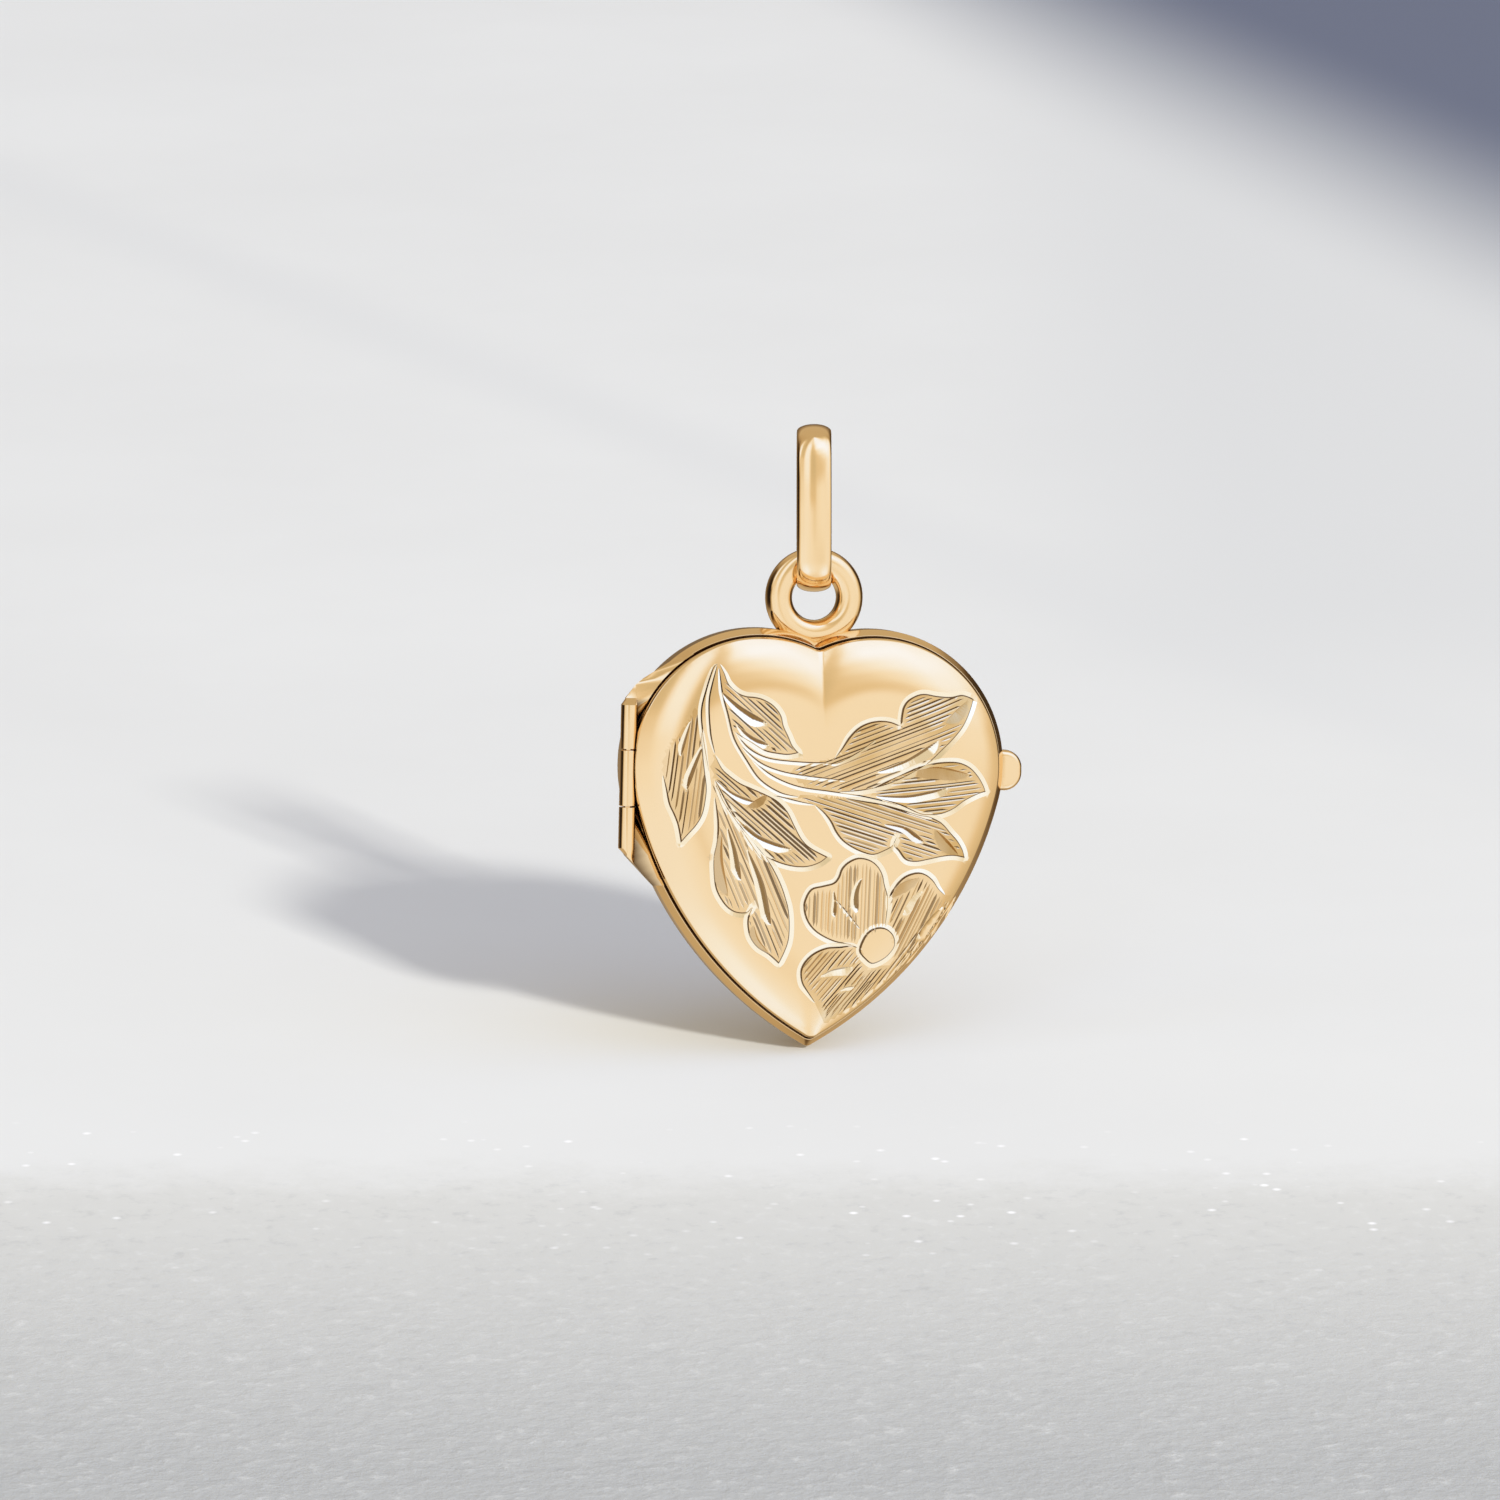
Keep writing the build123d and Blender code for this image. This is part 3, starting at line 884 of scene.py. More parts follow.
def lug_section():
    """Closed section of a lug: the knuckle's round front and the web that runs into the case."""
    web_end = hinge_x + lug_fairing_run + wall
    round_part = arc((hinge_x, 0), hinge_radius, pi / 2, 2 * pi + atan2(lug_gap, hinge_radius), LUG_STEPS)
    web = [(web_end, lug_gap), (web_end, hinge_radius)]
    return np.vstack([round_part, web])


def groove_left(level):
    """Left side of the groove round the cover at a level, or the knuckle's right side if that is further."""
    loop = heart_loop(-shadow_gap)
    same_half = loop[:, 1] > lobe_z if level > lobe_z else loop[:, 1] < lobe_z
    left = loop[(loop[:, 0] < 0) & same_half]
    left = left[np.argsort(left[:, 1])]
    return max(float(np.interp(level, left[:, 1], left[:, 0])), hinge_x + hinge_radius)


def upper_left(level):
    """Left limit of the upper lug at a level."""
    left = hinge_x - hinge_radius
    heights = [hinge_top_z, hinge_top_z + lug_shoulder_rise, hinge_top_z + lug_fairing_rise]
    runs = [0.0, lug_shoulder_run, lug_fairing_run]
    return left + float(np.interp(level, heights, runs))


def upper_slope(level):
    """How far the upper fairing's front falls back at its left side."""
    return float(np.clip((level - hinge_top_z) / lug_shoulder_rise, 0, 1)) * lug_fairing_fall


def lower_left(level):
    """Left limit of the lower lug at a level."""
    left = hinge_x - hinge_radius
    heights = [hinge_bottom_z - lug_foot_drop, hinge_bottom_z]
    return left + float(np.interp(level, heights, [lug_foot_run, 0.0]))


def hinge_lug(name, levels, left_at, slope_at):
    """A lug of the case: its section at each level, between a sloping line and the groove by the cover."""
    section = lug_section()
    rows = []
    for level in levels:
        row = np.column_stack([section[:, 0], section[:, 1], np.full(len(section), level)])
        left = left_at(level)
        right = groove_left(level)
        slope = slope_at(level)
        row[:, 0] = np.clip(row[:, 0], left, right)
        if slope > 0:
            fall = lug_gap + slope * (right - row[:, 0]) / max(right - left, lug_least_width)
            row[:, 1] = np.maximum(row[:, 1], fall)
        rows.append(row)
    piece = make_piece(name, to_row(rows), shell_faces(len(rows), len(section)))
    # Painted shade on the lug's side next to the cover's edge
    shade_x = hinge_x + painted_shade_lug_from * hinge_radius
    paint_shade(piece, lambda x, y, z: (x > shade_x) & (y < lug_gap) & (y > painted_shade_lug_front))
    bevel_edges(piece, lug_edge_round)


def hinge_lugs():
    """The two lugs, above and below the middle knuckle."""
    upper_rises = np.linspace(0, 1, UPPER_LUG_LEVELS) * lug_fairing_rise
    upper_levels = [knuckle_high_z + knuckle_end_gap, *(hinge_top_z + upper_rises)]
    lower_rises = np.linspace(-1, 0, LOWER_LUG_LEVELS) * lug_foot_drop
    lower_levels = [*(hinge_bottom_z + lower_rises), knuckle_low_z - knuckle_end_gap]
    hinge_lug("upper_lug", upper_levels, upper_left, upper_slope)
    hinge_lug("lower_lug", lower_levels, lower_left, lambda level: 0.0)


def tab_outline(inset):
    """The tab's D, seen from the front, at an inset."""
    end_x = half_width + case_margin + tab_proud
    corner_x = end_x - tab_corner_radius
    half = tab_height / 2
    radius = tab_corner_radius - inset
    upper = arc((corner_x, half - tab_corner_radius), radius, pi / 2, 0, TAB_CORNER_STEPS)
    lower = arc((corner_x, tab_corner_radius - half), radius, 0, -pi / 2, TAB_CORNER_STEPS)
    root = [(corner_x, inset - half), (half_width, inset - half), (half_width, half - inset)]
    return np.vstack([upper, lower, root])


def thumb_tab():
    """Small rounded tab on the side of the case, with soft edges front and back."""
    flat = tab_thickness / 2 - tab_edge_round
    turns = [pi / 2 * step / TAB_EDGE_STEPS for step in range(TAB_EDGE_STEPS + 1)]
    rows = []
    for side, side_turns in ((-1, turns), (1, turns[::-1])):
        for turn in side_turns:
            loop = tab_outline(tab_edge_round * (1 - sin(turn)))
            depth = tab_depth + side * (flat + tab_edge_round * cos(turn))
            rows.append(row_at(loop + (0, tab_z), depth))
    faces = shell_faces(len(rows), len(rows[0]))
    weigh_normals(make_piece("thumb_tab", to_row(rows), faces))


def eye_ring():
    """Round wire ring, upright across the notch."""
    spoke = np.arange(WIRE_STEPS) * 2 * pi / WIRE_STEPS
    reach = ring_radius + ring_wire_radius * np.cos(spoke)
    depth = ring_back + ring_wire_radius * np.sin(spoke)
    rows = []
    for step in range(RING_STEPS):
        turn = 2 * pi * step / RING_STEPS
        rows.append(np.column_stack([reach * cos(turn), depth, ring_z + reach * sin(turn)]))
    faces = grid_faces(RING_STEPS, WIRE_STEPS, wrap_rows=True)
    make_piece("eye_ring", to_row(rows), faces)


def bail_section():
    """Closed section of the bail's strip: (across, outward), flat inside and half round outside."""
    half = bail_width / 2
    rise = bail_thickness - bail_side
    turns = np.linspace(0, pi, BAIL_CROWN_STEPS + 1)
    crown = [(half * cos(turn), bail_side + rise * sin(turn)) for turn in turns]
    path = [(0, 0), (half, 0), *crown, (-half, 0), (0, 0)]
    radii = [bail_inner_round] + [0] * len(crown) + [bail_inner_round]
    return round_corners(path, radii)[:-1]


def bail_path():
    """Outer side view of the loop: (depth, height) and the outward turn, from gentle and tight arcs."""
    half_height = bail_height / 2
    half_depth = bail_depth / 2
    end = bail_end_radius
    leg = (half_depth**2 + half_height**2 - 2 * half_height * end) / (2 * (half_depth - end))
    leg_turn = np.arcsin((half_height - end) / (leg - end))
    middle_z = bail_thickness - half_height
    path = []
    for facing in (0, pi):
        for step in range(BAIL_LEG_STEPS):
            turn = facing - leg_turn + 2 * leg_turn * step / BAIL_LEG_STEPS
            depth = (half_depth - leg) * cos(facing) + leg * cos(turn)
            path.append((depth, middle_z + leg * sin(turn), turn))
        for step in range(BAIL_END_STEPS):
            turn = facing + leg_turn + (pi - 2 * leg_turn) * step / BAIL_END_STEPS
            tip = (half_height - end) * (1 if facing == 0 else -1)
            path.append((end * cos(turn), middle_z + tip + end * sin(turn), turn))
    return path


def bail_loop():
    """Upright loop of half-round strip, turned edge-on, through which a chain and the ring pass."""
    section = np.array(bail_section())
    across = section[:, 0]
    inward = section[:, 1] - bail_thickness
    rows = []
    for depth, height, turn in bail_path():
        y = depth + inward * cos(turn)
        z = height + inward * sin(turn)
        turned_x = across * cos(bail_turn) - y * sin(bail_turn)
        turned_y = across * sin(bail_turn) + y * cos(bail_turn)
        rows.append(np.column_stack([turned_x, turned_y, z]))
    faces = grid_faces(len(rows), len(section), wrap_rows=True)
    piece = make_piece("bail_loop", np.vstack(rows) * MM, faces, "hanger")
    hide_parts("bail")
    weigh_normals(piece)


def cover_height(x, z):
    """How far the cover's dome stands in front of its rim."""
    inset = edge_distance(x, z)
    tilt = sin(cover_dome_edge_slope) * (1 - np.clip(inset / cover_dome_spread, 0, 1))
    edge_level = cos(cover_dome_edge_slope)
    dome = (np.sqrt(1 - tilt**2) - edge_level) / (1 - edge_level)
    crown = 1 - (x / face_half_width) ** 2 - ((z - face_centre_z) / face_half_height) ** 2
    return dome * (cover_dome_rise - cover_crown * (1 - np.maximum(crown, 0)))


def cover_slope(x, z):
    """Slope of the cover's dome in x and z."""
    step = SLOPE_STEP
    slope_x = (cover_height(x + step, z) - cover_height(x - step, z)) / (2 * step)
    slope_z = (cover_height(x, z + step) - cover_height(x, z - step)) / (2 * step)
    return slope_x, slope_z


def from_angles(azimuth, elevation):
    """A direction in the row frame: azimuth 0 is in front, and positive is to the right."""
    x = sin(azimuth) * cos(elevation)
    y = -cos(azimuth) * cos(elevation)
    return Vector((x, y, sin(elevation)))


def camera_axes():
    """Directions of the photograph: right, up and towards the camera."""
    back = from_angles(CAMERA_AZIMUTH, CAMERA_ELEVATION)
    right = Vector((0, 0, 1)).cross(back).normalized()
    return right, back.cross(right), back


def camera_target():
    """The point in the middle of the frame, in millimetres of the row frame."""
    right, up, _ = camera_axes()
    off_x = (ORIGIN_PX[0] - FRAME_PX / 2) / PX_PER_MM
    off_y = (ORIGIN_PX[1] - FRAME_PX / 2) / PX_PER_MM
    return -off_x * right + off_y * up


def on_cover(points_px):
    """Places on the cover's face, as (x, z), that the camera sees at pixels of the photograph."""
    right, up, back = camera_axes()
    target = camera_target()
    px, py = np.array(points_px, float).T
    across = (px - FRAME_PX / 2) / PX_PER_MM
    above = (FRAME_PX / 2 - py) / PX_PER_MM
    eye = np.array(target + back * CAMERA_DISTANCE - LOCAL_ORIGIN)
    seen = np.array(target - LOCAL_ORIGIN) + np.outer(across, right) + np.outer(above, up)
    start = eye @ LOCAL_AXES.T
    ray = seen @ LOCAL_AXES.T - start
    depth = np.full(len(px), cover_rim_y - cover_dome_rise)
    for _ in range(SIGHT_PASSES):
        hit = start + ray * ((depth - start[1]) / ray[:, 1])[:, None]
        depth = cover_rim_y - cover_height(hit[:, 0], hit[:, 2])
    return hit[:, [0, 2]]


def curve(points, closed=False):
    """A smooth line through points, in steps of about a set length."""
    count = len(points)
    made = []
    for i in range(count if closed else count - 1):
        places = [i + k if closed else min(max(i + k, 0), count - 1) for k in (-1, 0, 1, 2)]
        p0, p1, p2, p3 = (points[place % count] for place in places)
        pieces = int(np.ceil(np.linalg.norm(p2 - p1) / CURVE_STEP))
        for t in np.arange(pieces) / max(pieces, 1):
            first = (p2 - p0) * t
            second = (2 * p0 - 5 * p1 + 4 * p2 - p3) * t**2
            third = (3 * p1 - p0 - 3 * p2 + p3) * t**3
            made.append(0.5 * (2 * p1 + first + second + third))
    if not closed:
        made.append(points[-1])
    return np.array(made)


class Engraving:
    """Cuts in the cover's face. Each has a broad bright wall and a narrow dark one, which carry painted
    highlight and painted shade, and thins to its ends.
    """

    def __init__(self):
        self.vertices = []
        self.edges = []
        self.segments = []
        self.outlines = {}

    def add_line(self, points, closed=False):
        """Mesh edges along a line."""
        first = len(self.vertices)
        self.vertices += [tuple(p) for p in points]
        last = first + len(points) - 1
        self.edges += [(i, i + 1) for i in range(first, last)]
        if closed:
            self.edges.append((last, first))

    def cut(self, line, section, bright_left, taper=None, closed=False, tones=(1.0, -1.0)):
        """One cut along a line. Taper is its run at each end, and tones are the painted highlight and painted
        shade of its two walls.
        """
        bright, dark, depth = section
        after = np.roll(line, -1, 0) if closed else np.vstack([line[1:], line[-1:]])
        before = np.roll(line, 1, 0) if closed else np.vstack([line[:1], line[:-1]])
        along = after - before
        along /= np.maximum(np.linalg.norm(along, axis=1), TINY)[:, None]
        side = np.column_stack([-along[:, 1], along[:, 0]]) * (1 if bright_left else -1)
        size = np.ones(len(line))
        if taper:
            steps = np.linalg.norm(np.diff(line, axis=0), axis=1)
            run = np.concatenate([[0], np.cumsum(steps)])
            fit = min(run[-1] / sum(taper), 1)
            end = np.minimum(run / taper[0], (run[-1] - run) / taper[1]) / fit
            size = np.sqrt(np.clip(end, 0, 1))
        self.add_line(line, closed)
        self.add_line(line + side * (bright * size)[:, None], closed)
        self.add_line(line - side * (dark * size)[:, None], closed)
        count = len(line)
        for i in range(count if closed else count - 1):
            j = (i + 1) % count
            facing = 1 if bright_left else -1
            row = (*line[i], *line[j], size[i], size[j], bright, dark, depth, facing, *tones)
            self.segments.append(row)

    def depth(self, points):
        """Depth of the deepest cut at each point, and its wall's painted tone there, above 0 a highlight and
        below 0 shade: 0 is the plain face.
        """
        order = np.argsort(points[:, 0])
        place = points[order]
        deepest = np.zeros(len(points))
        tones = np.zeros(len(points))
        for ax, az, bx, bz, size_a, size_b, bright, dark, depth, facing, broad, narrow in self.segments:
            margin = max(bright, dark)
            first = np.searchsorted(place[:, 0], min(ax, bx) - margin)
            last = np.searchsorted(place[:, 0], max(ax, bx) + margin)
            near = place[first:last]
            rows = np.flatnonzero((near[:, 1] > min(az, bz) - margin) & (near[:, 1] < max(az, bz) + margin))
            if not len(rows):
                continue
            dx, dz = bx - ax, bz - az
            length = max(sqrt(dx * dx + dz * dz), TINY)
            px, pz = near[rows, 0] - ax, near[rows, 1] - az
            share = (px * dx + pz * dz) / length**2
            held = np.clip(share, 0, 1)
            reach = np.hypot(px - held * dx, pz - held * dz)
            left = (pz * dx - px * dz) * facing > 0
            size = size_a + (size_b - size_a) * held
            width = np.where(left, bright, dark) * size
            found = depth * size * (1 - reach / np.maximum(width, TINY))
            rows = rows + first
            deeper = found > deepest[rows]
            deepest[rows[deeper]] = found[deeper]
            tones[rows[deeper]] = np.where(left[deeper], broad, narrow)
        result = np.zeros(len(points))
        kind = np.zeros(len(points))
        result[order] = deepest
        kind[order] = tones
        return result, kind


def lit_on_left(way):
    """Whether the bright wall of a cut that runs one way is the one on its left."""
    return way[1] * KEY_SIDE[0] - way[0] * KEY_SIDE[1] > 0


def clear_runs(line, clear):
    """The stretches of a shading line that are clear of wider cuts, with its points thinned out."""
    edges = np.flatnonzero(np.diff(np.concatenate([[0], clear, [0]])))
    runs = []
    for first, end in zip(edges[0::2], edges[1::2]):
        length = (end - 1 - first) * HATCH_STEP
        if length < HATCH_SHORTEST:
            continue
        pieces = max(int(length / HATCH_SHORTEST), 2)
        picks = np.linspace(first, end - 1, pieces + 1).round().astype(int)
        runs.append(line[picks])
    return runs


def shade_blade(engraving, gouges, outline, angle, gap, darkness, chance):
    """Parallel cuts across a blade, each a little different in place, length, depth and the painted highlight
    and shade on its walls.
    """
    turn = radians(angle)
    along = np.array([cos(turn), sin(turn)])
    across = np.array([-sin(turn), cos(turn)])
    run = outline @ along
    level = outline @ across
    lines = []
    for height in np.arange(level.min() + gap, level.max(), gap):
        height += chance.uniform(-HATCH_SHIFT, HATCH_SHIFT) * gap
        next_run = np.roll(run, -1)
        next_level = np.roll(level, -1)
        crossed = (level > height) != (next_level > height)
        share = (height - level[crossed]) / (next_level[crossed] - level[crossed])
        ends = np.sort(run[crossed] + share * (next_run[crossed] - run[crossed]))
        for start, stop in zip(ends[0::2], ends[1::2]):
            start += SHADING_STOP + chance.uniform(0, HATCH_END_SHIFT)
            stop -= SHADING_STOP + chance.uniform(0, HATCH_END_SHIFT)
            places = np.arange(start, stop, HATCH_STEP)
            if len(places) > 3:
                lines.append(np.outer(places, along) + across * height)
    taken = gouges.depth(np.vstack(lines))[0] > 0
    line_ends = np.cumsum([len(line) for line in lines])[:-1]
    for line, clear in zip(lines, np.split(~taken, line_ends)):
        for piece in clear_runs(line, clear):
            size = chance.uniform(*HATCH_SIZES)
            section = tuple(part * size for part in SHADING_CUT)
            bright = chance.uniform(*HATCH_PAINTED_HIGHLIGHT)
            dark = -min(darkness * chance.uniform(*HATCH_PAINTED_SHADE), 1.0)
            engraving.cut(piece, section, lit_on_left(along), SHADING_TAPER, tones=(bright, dark))


def cut_outlines(engraving):
    """The outline cut of each blade, closed or along its run."""
    for name, points_px in BLADES_PX.items():
        points = on_cover(points_px)
        outline = curve(points, closed=True)
        engraving.outlines[name] = outline
        after = np.roll(outline, -1, 0)
        clockwise = np.sum(outline[:, 0] * after[:, 1] - after[:, 0] * outline[:, 1]) < 0
        if BLADE_RUNS[name] is None:
            engraving.cut(outline, OUTLINE_CUT, clockwise, closed=True)
            continue
        first, last = BLADE_RUNS[name]
        if last > first:
            engraving.cut(curve(points[first : last + 1]), OUTLINE_CUT, clockwise, OUTLINE_TAPER)


def cut_gouges(engraving, gouges):
    """The graver's broad facets, each with a painted highlight or painted shade, and painted shade on the
    narrow wall of a bright one.
    """
    for width, tone, points_px in GOUGES_PX:
        line = curve(on_cover(points_px))
        lit_left = lit_on_left(line[-1] - line[0])
        bright = tone > 0
        section = (width, GOUGE_DARK_WALL, width * (GOUGE_SLOPE if bright else PATCH_SLOPE))
        taper = GOUGE_TAPER if bright else OUTLINE_TAPER
        engraving.cut(line, section, lit_left, taper, tones=(tone, GOUGE_PAINTED_SHADE if bright else tone))
        gouges.cut(line, section, lit_left, taper)


def engrave():
    """All cuts of the leaf spray and the flower, and mesh lines along the crease between the lobes."""
    engraving = Engraving()
    gouges = Engraving()
    heights = np.linspace(notch_bottom_z - CREASE_LINE_START, lobe_z, CREASE_LINE_POINTS)
    for x in CREASE_LINES:
        engraving.add_line(np.column_stack([np.full(len(heights), x), heights]))
    cut_outlines(engraving)
    for points_px in STEMS_PX:
        line = curve(on_cover(points_px))
        engraving.cut(line, STEM_CUT, lit_on_left(line[-1] - line[0]), OUTLINE_TAPER)
    cut_gouges(engraving, gouges)
    chance = np.random.default_rng(HATCH_SEED)
    for name, angle, gap, darkness, _ in SHADING:
        shade_blade(engraving, gouges, engraving.outlines[name], angle, gap, darkness, chance)
    return engraving


def face_field(engraving):
    """Points and triangles that fill the cover's face, boundary first, with edges along the cuts."""
    loop = heart_loop(face_inset)
    count = len(loop)
    low = loop.min(0)
    high = loop.max(0)
    inner = []
    for line, z in enumerate(np.arange(low[1], high[1], face_spacing * sqrt(3) / 2)):
        for x in np.arange(low[0] + face_spacing / 2 * (line % 2), high[0], face_spacing):
            inner.append((x, z))
    inner = np.array(inner)
    inner = inner[edge_distance(inner[:, 0], inner[:, 1]) > face_inset + face_spacing / 2]
    inner = inner[engraving.depth(inner)[0] == 0]
    points = [Vector(p) for p in np.vstack([loop, engraving.vertices, inner])]
    edges = [(i, (i + 1) % count) for i in range(count)]
    edges += [(a + count, b + count) for a, b in engraving.edges]
    found = delaunay_2d_cdt(points, edges, [tuple(range(count))], 1, 1e-5)
    return np.array([tuple(p) for p in found[0]]), [tuple(f) for f in found[2]], loop


def painted_ground_shade(points, outlines):
    """How much painted shade the ground gets at each point, from the hatched blade that it lies in."""
    dulled = np.zeros(len(points))
    for name, _, _, _, ground in SHADING:
        outline = outlines[name]
        after = np.roll(outline, -1, 0)
        inside = np.zeros(len(points), bool)
        for (ax, az), (bx, bz) in zip(outline, after):
            if az == bz:
                continue
            crosses = (az > points[:, 1]) != (bz > points[:, 1])
            inside ^= crosses & (points[:, 0] < ax + (points[:, 1] - az) / (bz - az) * (bx - ax))
        dulled[inside] = np.maximum(dulled[inside], ground)
    return dulled


def dress_face(piece, engraving):
    """Shading normals from the face's true slope, and values on each corner for the painted highlight and
    shade of the cuts and the painted shade of the ground.
    """
    mesh = piece.data
    corner_points = np.array([loop.vertex_index for loop in mesh.loops])
    face_of = np.repeat(np.arange(len(mesh.polygons)), [len(p.vertices) for p in mesh.polygons])
    place = own_places(mesh)[corner_points]
    counts = np.bincount(face_of).astype(float)
    middle = np.column_stack([np.bincount(face_of, place[:, k]) / counts for k in range(3)])[face_of]
    front = edge_distance(middle[:, 0], middle[:, 2]) > face_inset
    front &= (middle[:, 1] < cover_rim_y - face_skin * wall) & (counts[face_of] == 3)
    flat = place[front][:, [0, 2]]
    face_middle = middle[front][:, [0, 2]]
    probe = flat * (1 - PROBE_SHARE) + face_middle * PROBE_SHARE
    depth, kind = engraving.depth(probe)
    depth_x, _ = engraving.depth(probe + (PROBE_STEP, 0))
    depth_z, _ = engraving.depth(probe + (0, PROBE_STEP))
    slope_x, slope_z = cover_slope(flat[:, 0], flat[:, 1])
    normal_x = (depth_x - depth) / PROBE_STEP - slope_x
    normal_z = (depth_z - depth) / PROBE_STEP - slope_z
    way = np.column_stack([normal_x, -np.ones(len(flat)), normal_z])
    way /= np.linalg.norm(way, axis=1)[:, None]
    normals = np.zeros((len(mesh.loops), 3))
    normals[front] = way @ LOCAL_AXES
    for name, found in (("painted_light_and_shade", kind), ("shaded", painted_ground_shade(face_middle, engraving.outlines))):
        values = np.zeros(len(mesh.loops))
        values[front] = found
        mesh.attributes.new(name, "FLOAT", "CORNER").data.foreach_set("value", values)
    mesh.normals_split_custom_set(normals.tolist())


def cover_shell():
    """Domed cover: engraved face, rim and inside."""
    engraving = engrave()
    points, triangles, loop = face_field(engraving)
    depth, _ = engraving.depth(points)
    depth[: len(loop)] = 0
    height = cover_height(points[:, 0], points[:, 1])
    face = row_at(points, cover_rim_y - height + depth)
    rows = []
    for share in face_edge_shares:
        inset = face_inset * share
        ring = heart_loop(inset)
        drop = cover_edge_drop * max(1 - inset / cover_edge_run, 0) ** 2
        ring_depth = cover_rim_y - cover_height(ring[:, 0], ring[:, 1]) + drop
        rows.append(row_at(ring, ring_depth))
    path = [(0, cover_rim_y), (0, -mouth), (wall, -mouth), (wall, cover_rim_y)]
    rows += heart_rows(round_corners(path, [edge_round, edge_round])[1:-1])
    inner_rise = cover_dome_rise - wall
    inner_spread = cover_dome_spread - wall / 2
    inner_path = dome_path(wall, cover_rim_y, -inner_rise, inner_spread, cover_dome_edge_slope)
    rows += clear_bearing(heart_rows(inner_path))
    sides = np.vstack(rows)
    columns = len(loop)
    faces = grid_faces(len(rows), columns)
    faces.append(tuple(range((len(rows) - 1) * columns, len(rows) * columns)))
    faces += [tuple(len(sides) + i for i in triangle) for triangle in triangles]
    everything = relieve_hinge(np.vstack([sides, face]), 0, heart_height)
    piece = make_piece("cover_shell", to_row(everything), faces, "cover", ENGRAVED)
    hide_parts("front_cover")
    dress_face(piece, engraving)


def aim(thing, position, target):
    """Place a light or camera so that it looks at a target."""
    thing.location = position
    thing.rotation_mode = "QUATERNION"
    thing.rotation_quaternion = (Vector(target) - Vector(position)).to_track_quat("-Z", "Y")


def make_camera():
    """Long lens at the photograph's angle, with the object where it is in the frame."""
    back = camera_axes()[2]
    target = camera_target() * MM
    data = bpy.data.cameras.new("camera")
    data.sensor_width = SENSOR
    data.lens = SENSOR * CAMERA_DISTANCE * PX_PER_MM / FRAME_PX
    data.clip_start, data.clip_end = CAMERA_CLIP
    camera = bpy.data.objects.new("camera", data)
    bpy.context.scene.collection.objects.link(camera)
    aim(camera, target + back * CAMERA_DISTANCE * MM, target)
    bpy.context.scene.camera = camera


def distance_along(tree, place, way):
    """How far a place lies along a direction."""
    return add_node(tree, "VectorMath", "Value", {0: place, 1: way}, operation="DOT_PRODUCT")


def plaster_tone(tree, place):
    """Pale mottled plaster, with a painted soft shadow streak, a faint painted shade at the right and a
    blue-grey painted shade behind it.
    """
    mottle = spread_range(tree, noise(tree, place, *MOTTLE_NOISE), 0, 1, *MOTTLE_RANGE)
    colour = mix_colours(tree, FLOOR_DEEP, FLOOR_PALE, mottle)
    along = distance_along(tree, place, SHADOW_STREAK_WAY)
    off_streak = maths(tree, "ABSOLUTE", maths(tree, "SUBTRACT", along, SHADOW_STREAK_PLACE), 0.0)
    streak = smooth_range(tree, off_streak, 1, 0, 0, SHADOW_STREAK_HALF_WIDTH)
    colour = mix_colours(tree, colour, SHADOW_STREAK_TONE, streak)
    across = smooth_range(tree, distance_along(tree, place, ACROSS_VIEW), 0, 1, *HALF_SHADE_ACROSS)
    farness = maths(tree, "MULTIPLY", distance_along(tree, place, SLAB_WAY), -1.0)
    deep = smooth_range(tree, farness, 0, 1, *HALF_SHADE_DEEP)
    colour = mix_colours(tree, colour, HALF_SHADE, maths(tree, "MULTIPLY", across, deep))
    shade = smooth_range(tree, distance_along(tree, place, SHADE_WAY), 0, 1, *SHADE_RUN)
    return mix_colours(tree, colour, FLOOR_SHADE, shade)


def slab_tone(tree, fade, grain):
    """Rough stone, darker towards the camera, with pale grains and pits."""
    pale = spread_range(tree, grain, 0, GRAIN_PALE, *GRAIN_PALE_RANGE)
    pits = spread_range(tree, grain, GRAIN_PIT, 0, *GRAIN_PIT_RANGE)
    colour = mix_colours(tree, SLAB_FAR, SLAB_NEAR, fade)
    colour = mix_colours(tree, colour, FLOOR_PALE, pale)
    return mix_colours(tree, colour, SLAB_PIT, pits)


def sparkles(tree, place, nearness):
    """How far each place is a painted glint, a bright speck in clusters along the slab's edge."""
    off_centre = add_node(tree, "TexVoronoi", "Distance", {"Vector": place, "Scale": SPARKLE_SCALE})
    speck = spread_range(tree, off_centre, 1, 0, 0, SPARKLE_SIZE)
    rising = smooth_range(tree, nearness, 0, 1, SPARKLE_RUN[0], SLAB_RUN[0])
    falling = smooth_range(tree, nearness, 1, 0, SLAB_RUN[1], SPARKLE_RUN[1])
    sparkle = maths(tree, "MULTIPLY", speck, maths(tree, "MULTIPLY", rising, falling))
    clusters = spread_range(tree, noise(tree, place, *CLUSTER_NOISE), 0, 1, *CLUSTER_RANGE)
    return maths(tree, "MULTIPLY", sparkle, clusters)


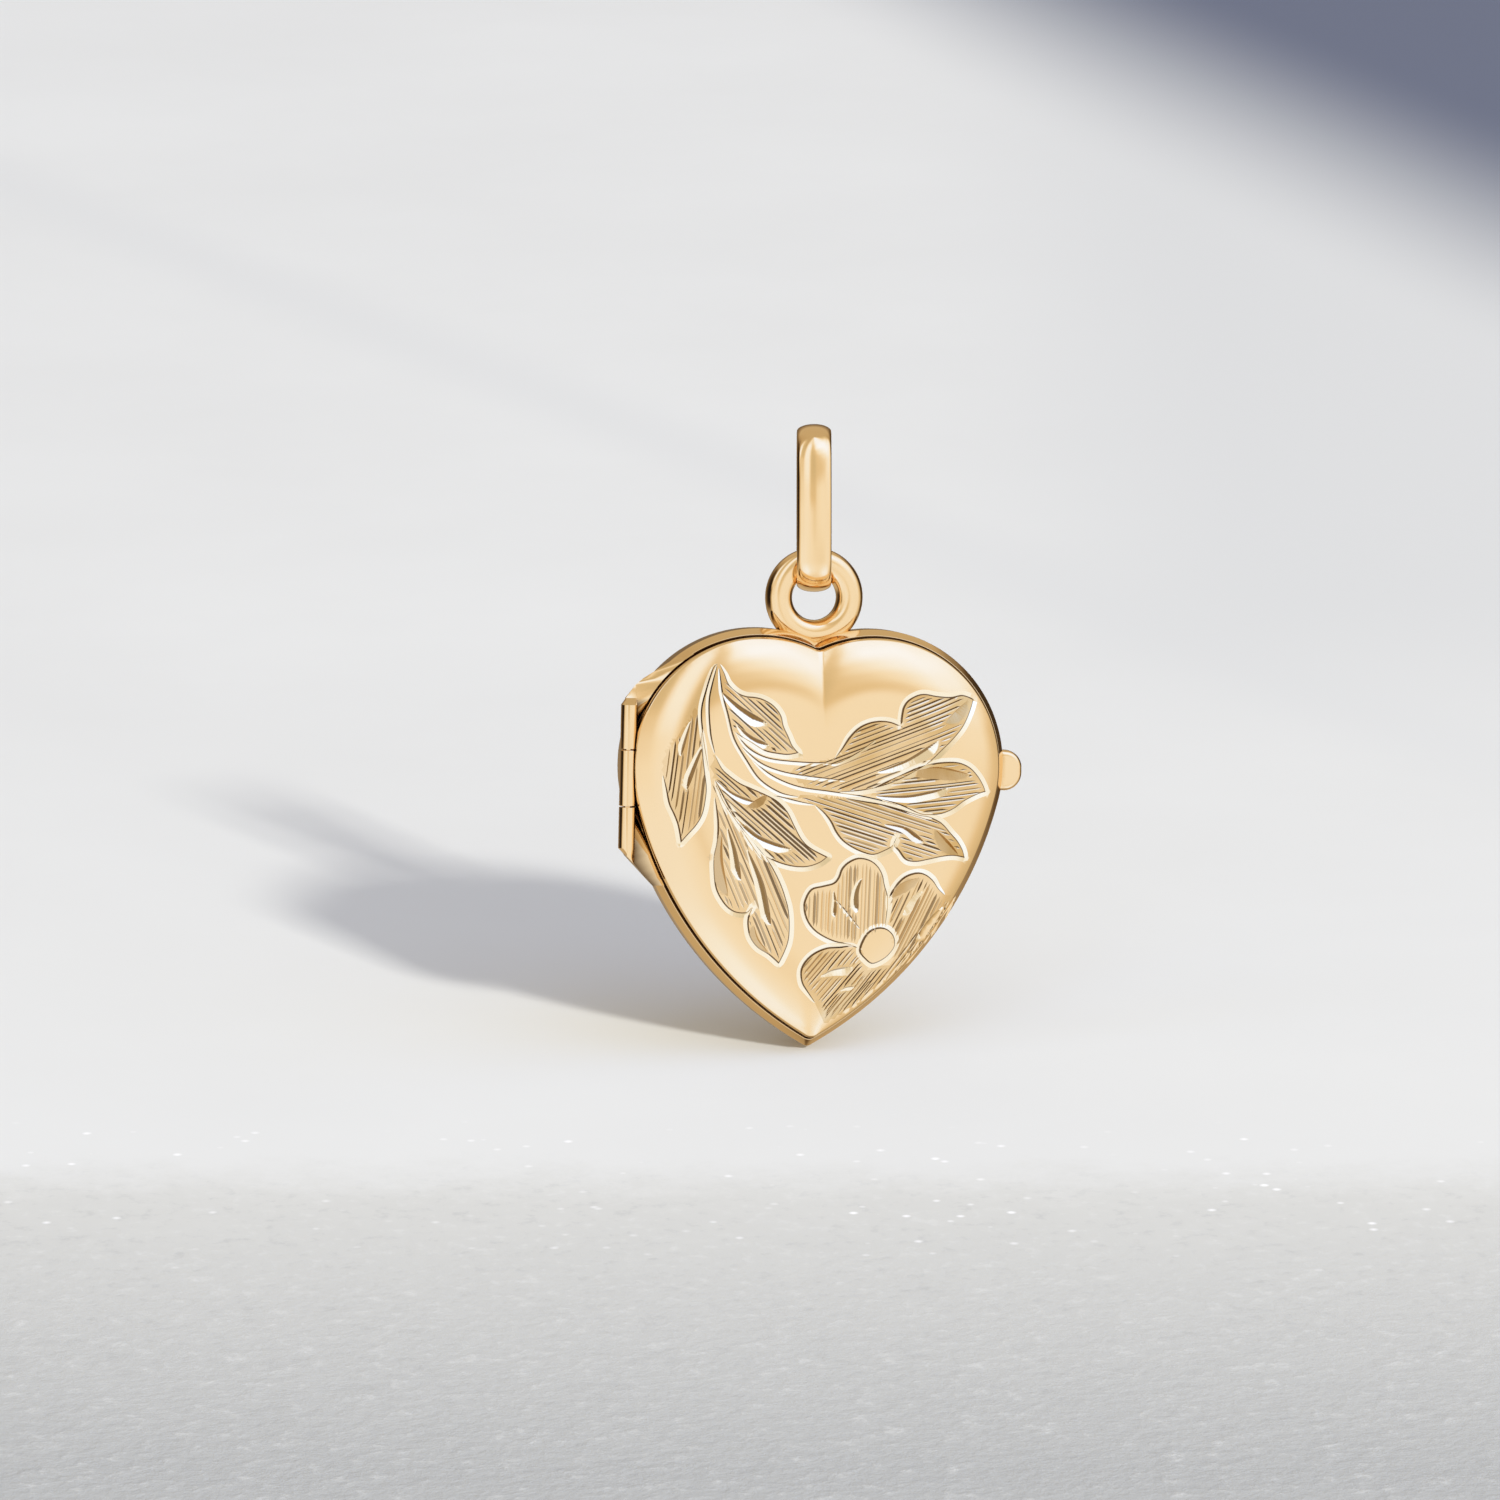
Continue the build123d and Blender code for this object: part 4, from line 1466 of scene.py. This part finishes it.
def floor_material():
    """Pale plaster that turns into a rough slab in front."""
    material = bpy.data.materials.new("pale_floor")
    tree, shader = node_group(material)
    place = add_node(tree, "TexCoord", "Object", {})
    ragged = spread_range(tree, noise(tree, place, *RAGGED_NOISE), -RAGGED_REACH, RAGGED_REACH)
    nearness = maths(tree, "ADD", distance_along(tree, place, SLAB_WAY), ragged)
    fade = spread_range(tree, nearness, 0, 1, *SLAB_FADE)
    grain = noise(tree, place, *GRAIN_NOISE)
    slab = smooth_range(tree, nearness, 0, 1, *SLAB_RUN)
    colour = mix_colours(tree, plaster_tone(tree, place), slab_tone(tree, fade, grain), slab)
    colour = mix_colours(tree, colour, SPARKLE_TONE, sparkles(tree, place, nearness))
    tree.links.new(colour, shader.inputs["Base Color"])
    strength = maths(tree, "MULTIPLY", fade, GRAIN_BUMP)
    bump = {"Height": grain, "Strength": strength, "Distance": GRAIN_HEIGHT}
    tree.links.new(add_node(tree, "Bump", "Normal", bump), shader.inputs["Normal"])
    shader.inputs["Roughness"].default_value = FLOOR_ROUGHNESS
    return material


def make_floor():
    """A sheet that falls towards the camera and rises behind, with the tip of the heart just above it."""
    right, _, back = camera_axes()
    level_back = Vector((back.x, back.y, 0)).normalized()
    tip = Vector((0, 0, cad_box[0].z - FLOOR_CLEARANCE * MM))
    rows = []
    for run in (-FLOOR_REACH_FRONT, 0.0, FLOOR_REACH_BACK):
        rise = Vector((0, 0, run * sin(FLOOR_TILT)))
        for side in (-FLOOR_HALF_WIDTH, FLOOR_HALF_WIDTH):
            rows.append(tip - level_back * run * cos(FLOOR_TILT) + right * side + rise)
    mesh = bpy.data.meshes.new("floor")
    mesh.from_pydata([tuple(p) for p in rows], [], [(0, 1, 3, 2), (2, 3, 5, 4)])
    mesh.materials.append(floor_material())
    floor = bpy.data.objects.new("floor", mesh)
    bpy.context.scene.collection.objects.link(floor)
    floor.visible_glossy = False


def make_key_light():
    """The soft box that throws the shadow. It lights the floor, and the gold doesn't mirror it."""
    data = bpy.data.lights.new("key", "AREA")
    data.shape = "RECTANGLE"
    data.size = KEY_SIZE
    data.size_y = KEY_SIZE
    data.energy = KEY_POWER
    light = bpy.data.objects.new("key", data)
    bpy.context.scene.collection.objects.link(light)
    light.visible_camera = False
    light.visible_glossy = False
    position = from_angles(KEY_AZIMUTH, KEY_ELEVATION) * KEY_DISTANCE + KEY_TARGET
    aim(light, position, KEY_TARGET)


def tent_column(tree, height, levels):
    """The tent's tone by height at one azimuth."""
    ramp = tree.nodes.new("ShaderNodeValToRGB")
    ramp.color_ramp.interpolation = "EASE"
    marks = ramp.color_ramp.elements
    for elevation, tone in zip(TENT_ELEVATIONS, levels):
        mark = marks.new((sin(radians(elevation)) + 1) / 2)
        share = tone / TONE_PEAK
        mark.color = (share, share, share, 1)
    marks.remove(marks[0])
    marks.remove(marks[-1])
    tree.links.new(height, ramp.inputs["Fac"])
    return ramp.outputs["Color"]


def light_colours(tree, tone):
    """The colour of the light at each tone."""
    ramp = tree.nodes.new("ShaderNodeValToRGB")
    marks = ramp.color_ramp.elements
    for tone_here, _ in LIGHT_TONES[1:-1]:
        marks.new(tone_here / TONE_PEAK)
    for mark, (_, colour) in zip(marks, LIGHT_TONES):
        mark.color = (*(part / LIGHT_PEAK for part in colour), 1)
    tree.links.new(tone, ramp.inputs["Fac"])
    return ramp.outputs["Color"]


def make_world():
    """A light tent: its tone by direction, and then the colour of the light at that tone."""
    world = bpy.data.worlds.new("tent")
    bpy.context.scene.world = world
    world.use_nodes = True
    tree = world.node_tree
    split = tree.nodes.new("ShaderNodeSeparateXYZ")
    tree.links.new(add_node(tree, "TexCoord", "Generated", {}), split.inputs["Vector"])
    front = maths(tree, "MULTIPLY", split.outputs["Y"], -1.0)
    azimuth = maths(tree, "ARCTAN2", split.outputs["X"], front)
    height = spread_range(tree, split.outputs["Z"], 0, 1, -1, 1)
    before, levels = TENT_COLUMNS[0]
    tone = tent_column(tree, height, levels)
    for place, levels in TENT_COLUMNS[1:]:
        passed = spread_range(tree, azimuth, 0, 1, radians(before), radians(place))
        tone = mix_colours(tree, tone, tent_column(tree, height, levels), passed)
        before = place
    background = tree.nodes["Background"]
    background.inputs["Strength"].default_value = LIGHT_PEAK
    tree.links.new(light_colours(tree, tone), background.inputs["Color"])


case_shell()
snap_lip()
middle_knuckle()
hinge_lugs()
thumb_tab()
eye_ring()
bail_loop()
cover_shell()
make_camera()
make_floor()
make_world()
make_key_light()
bpy.context.scene.view_settings.view_transform = "Standard"
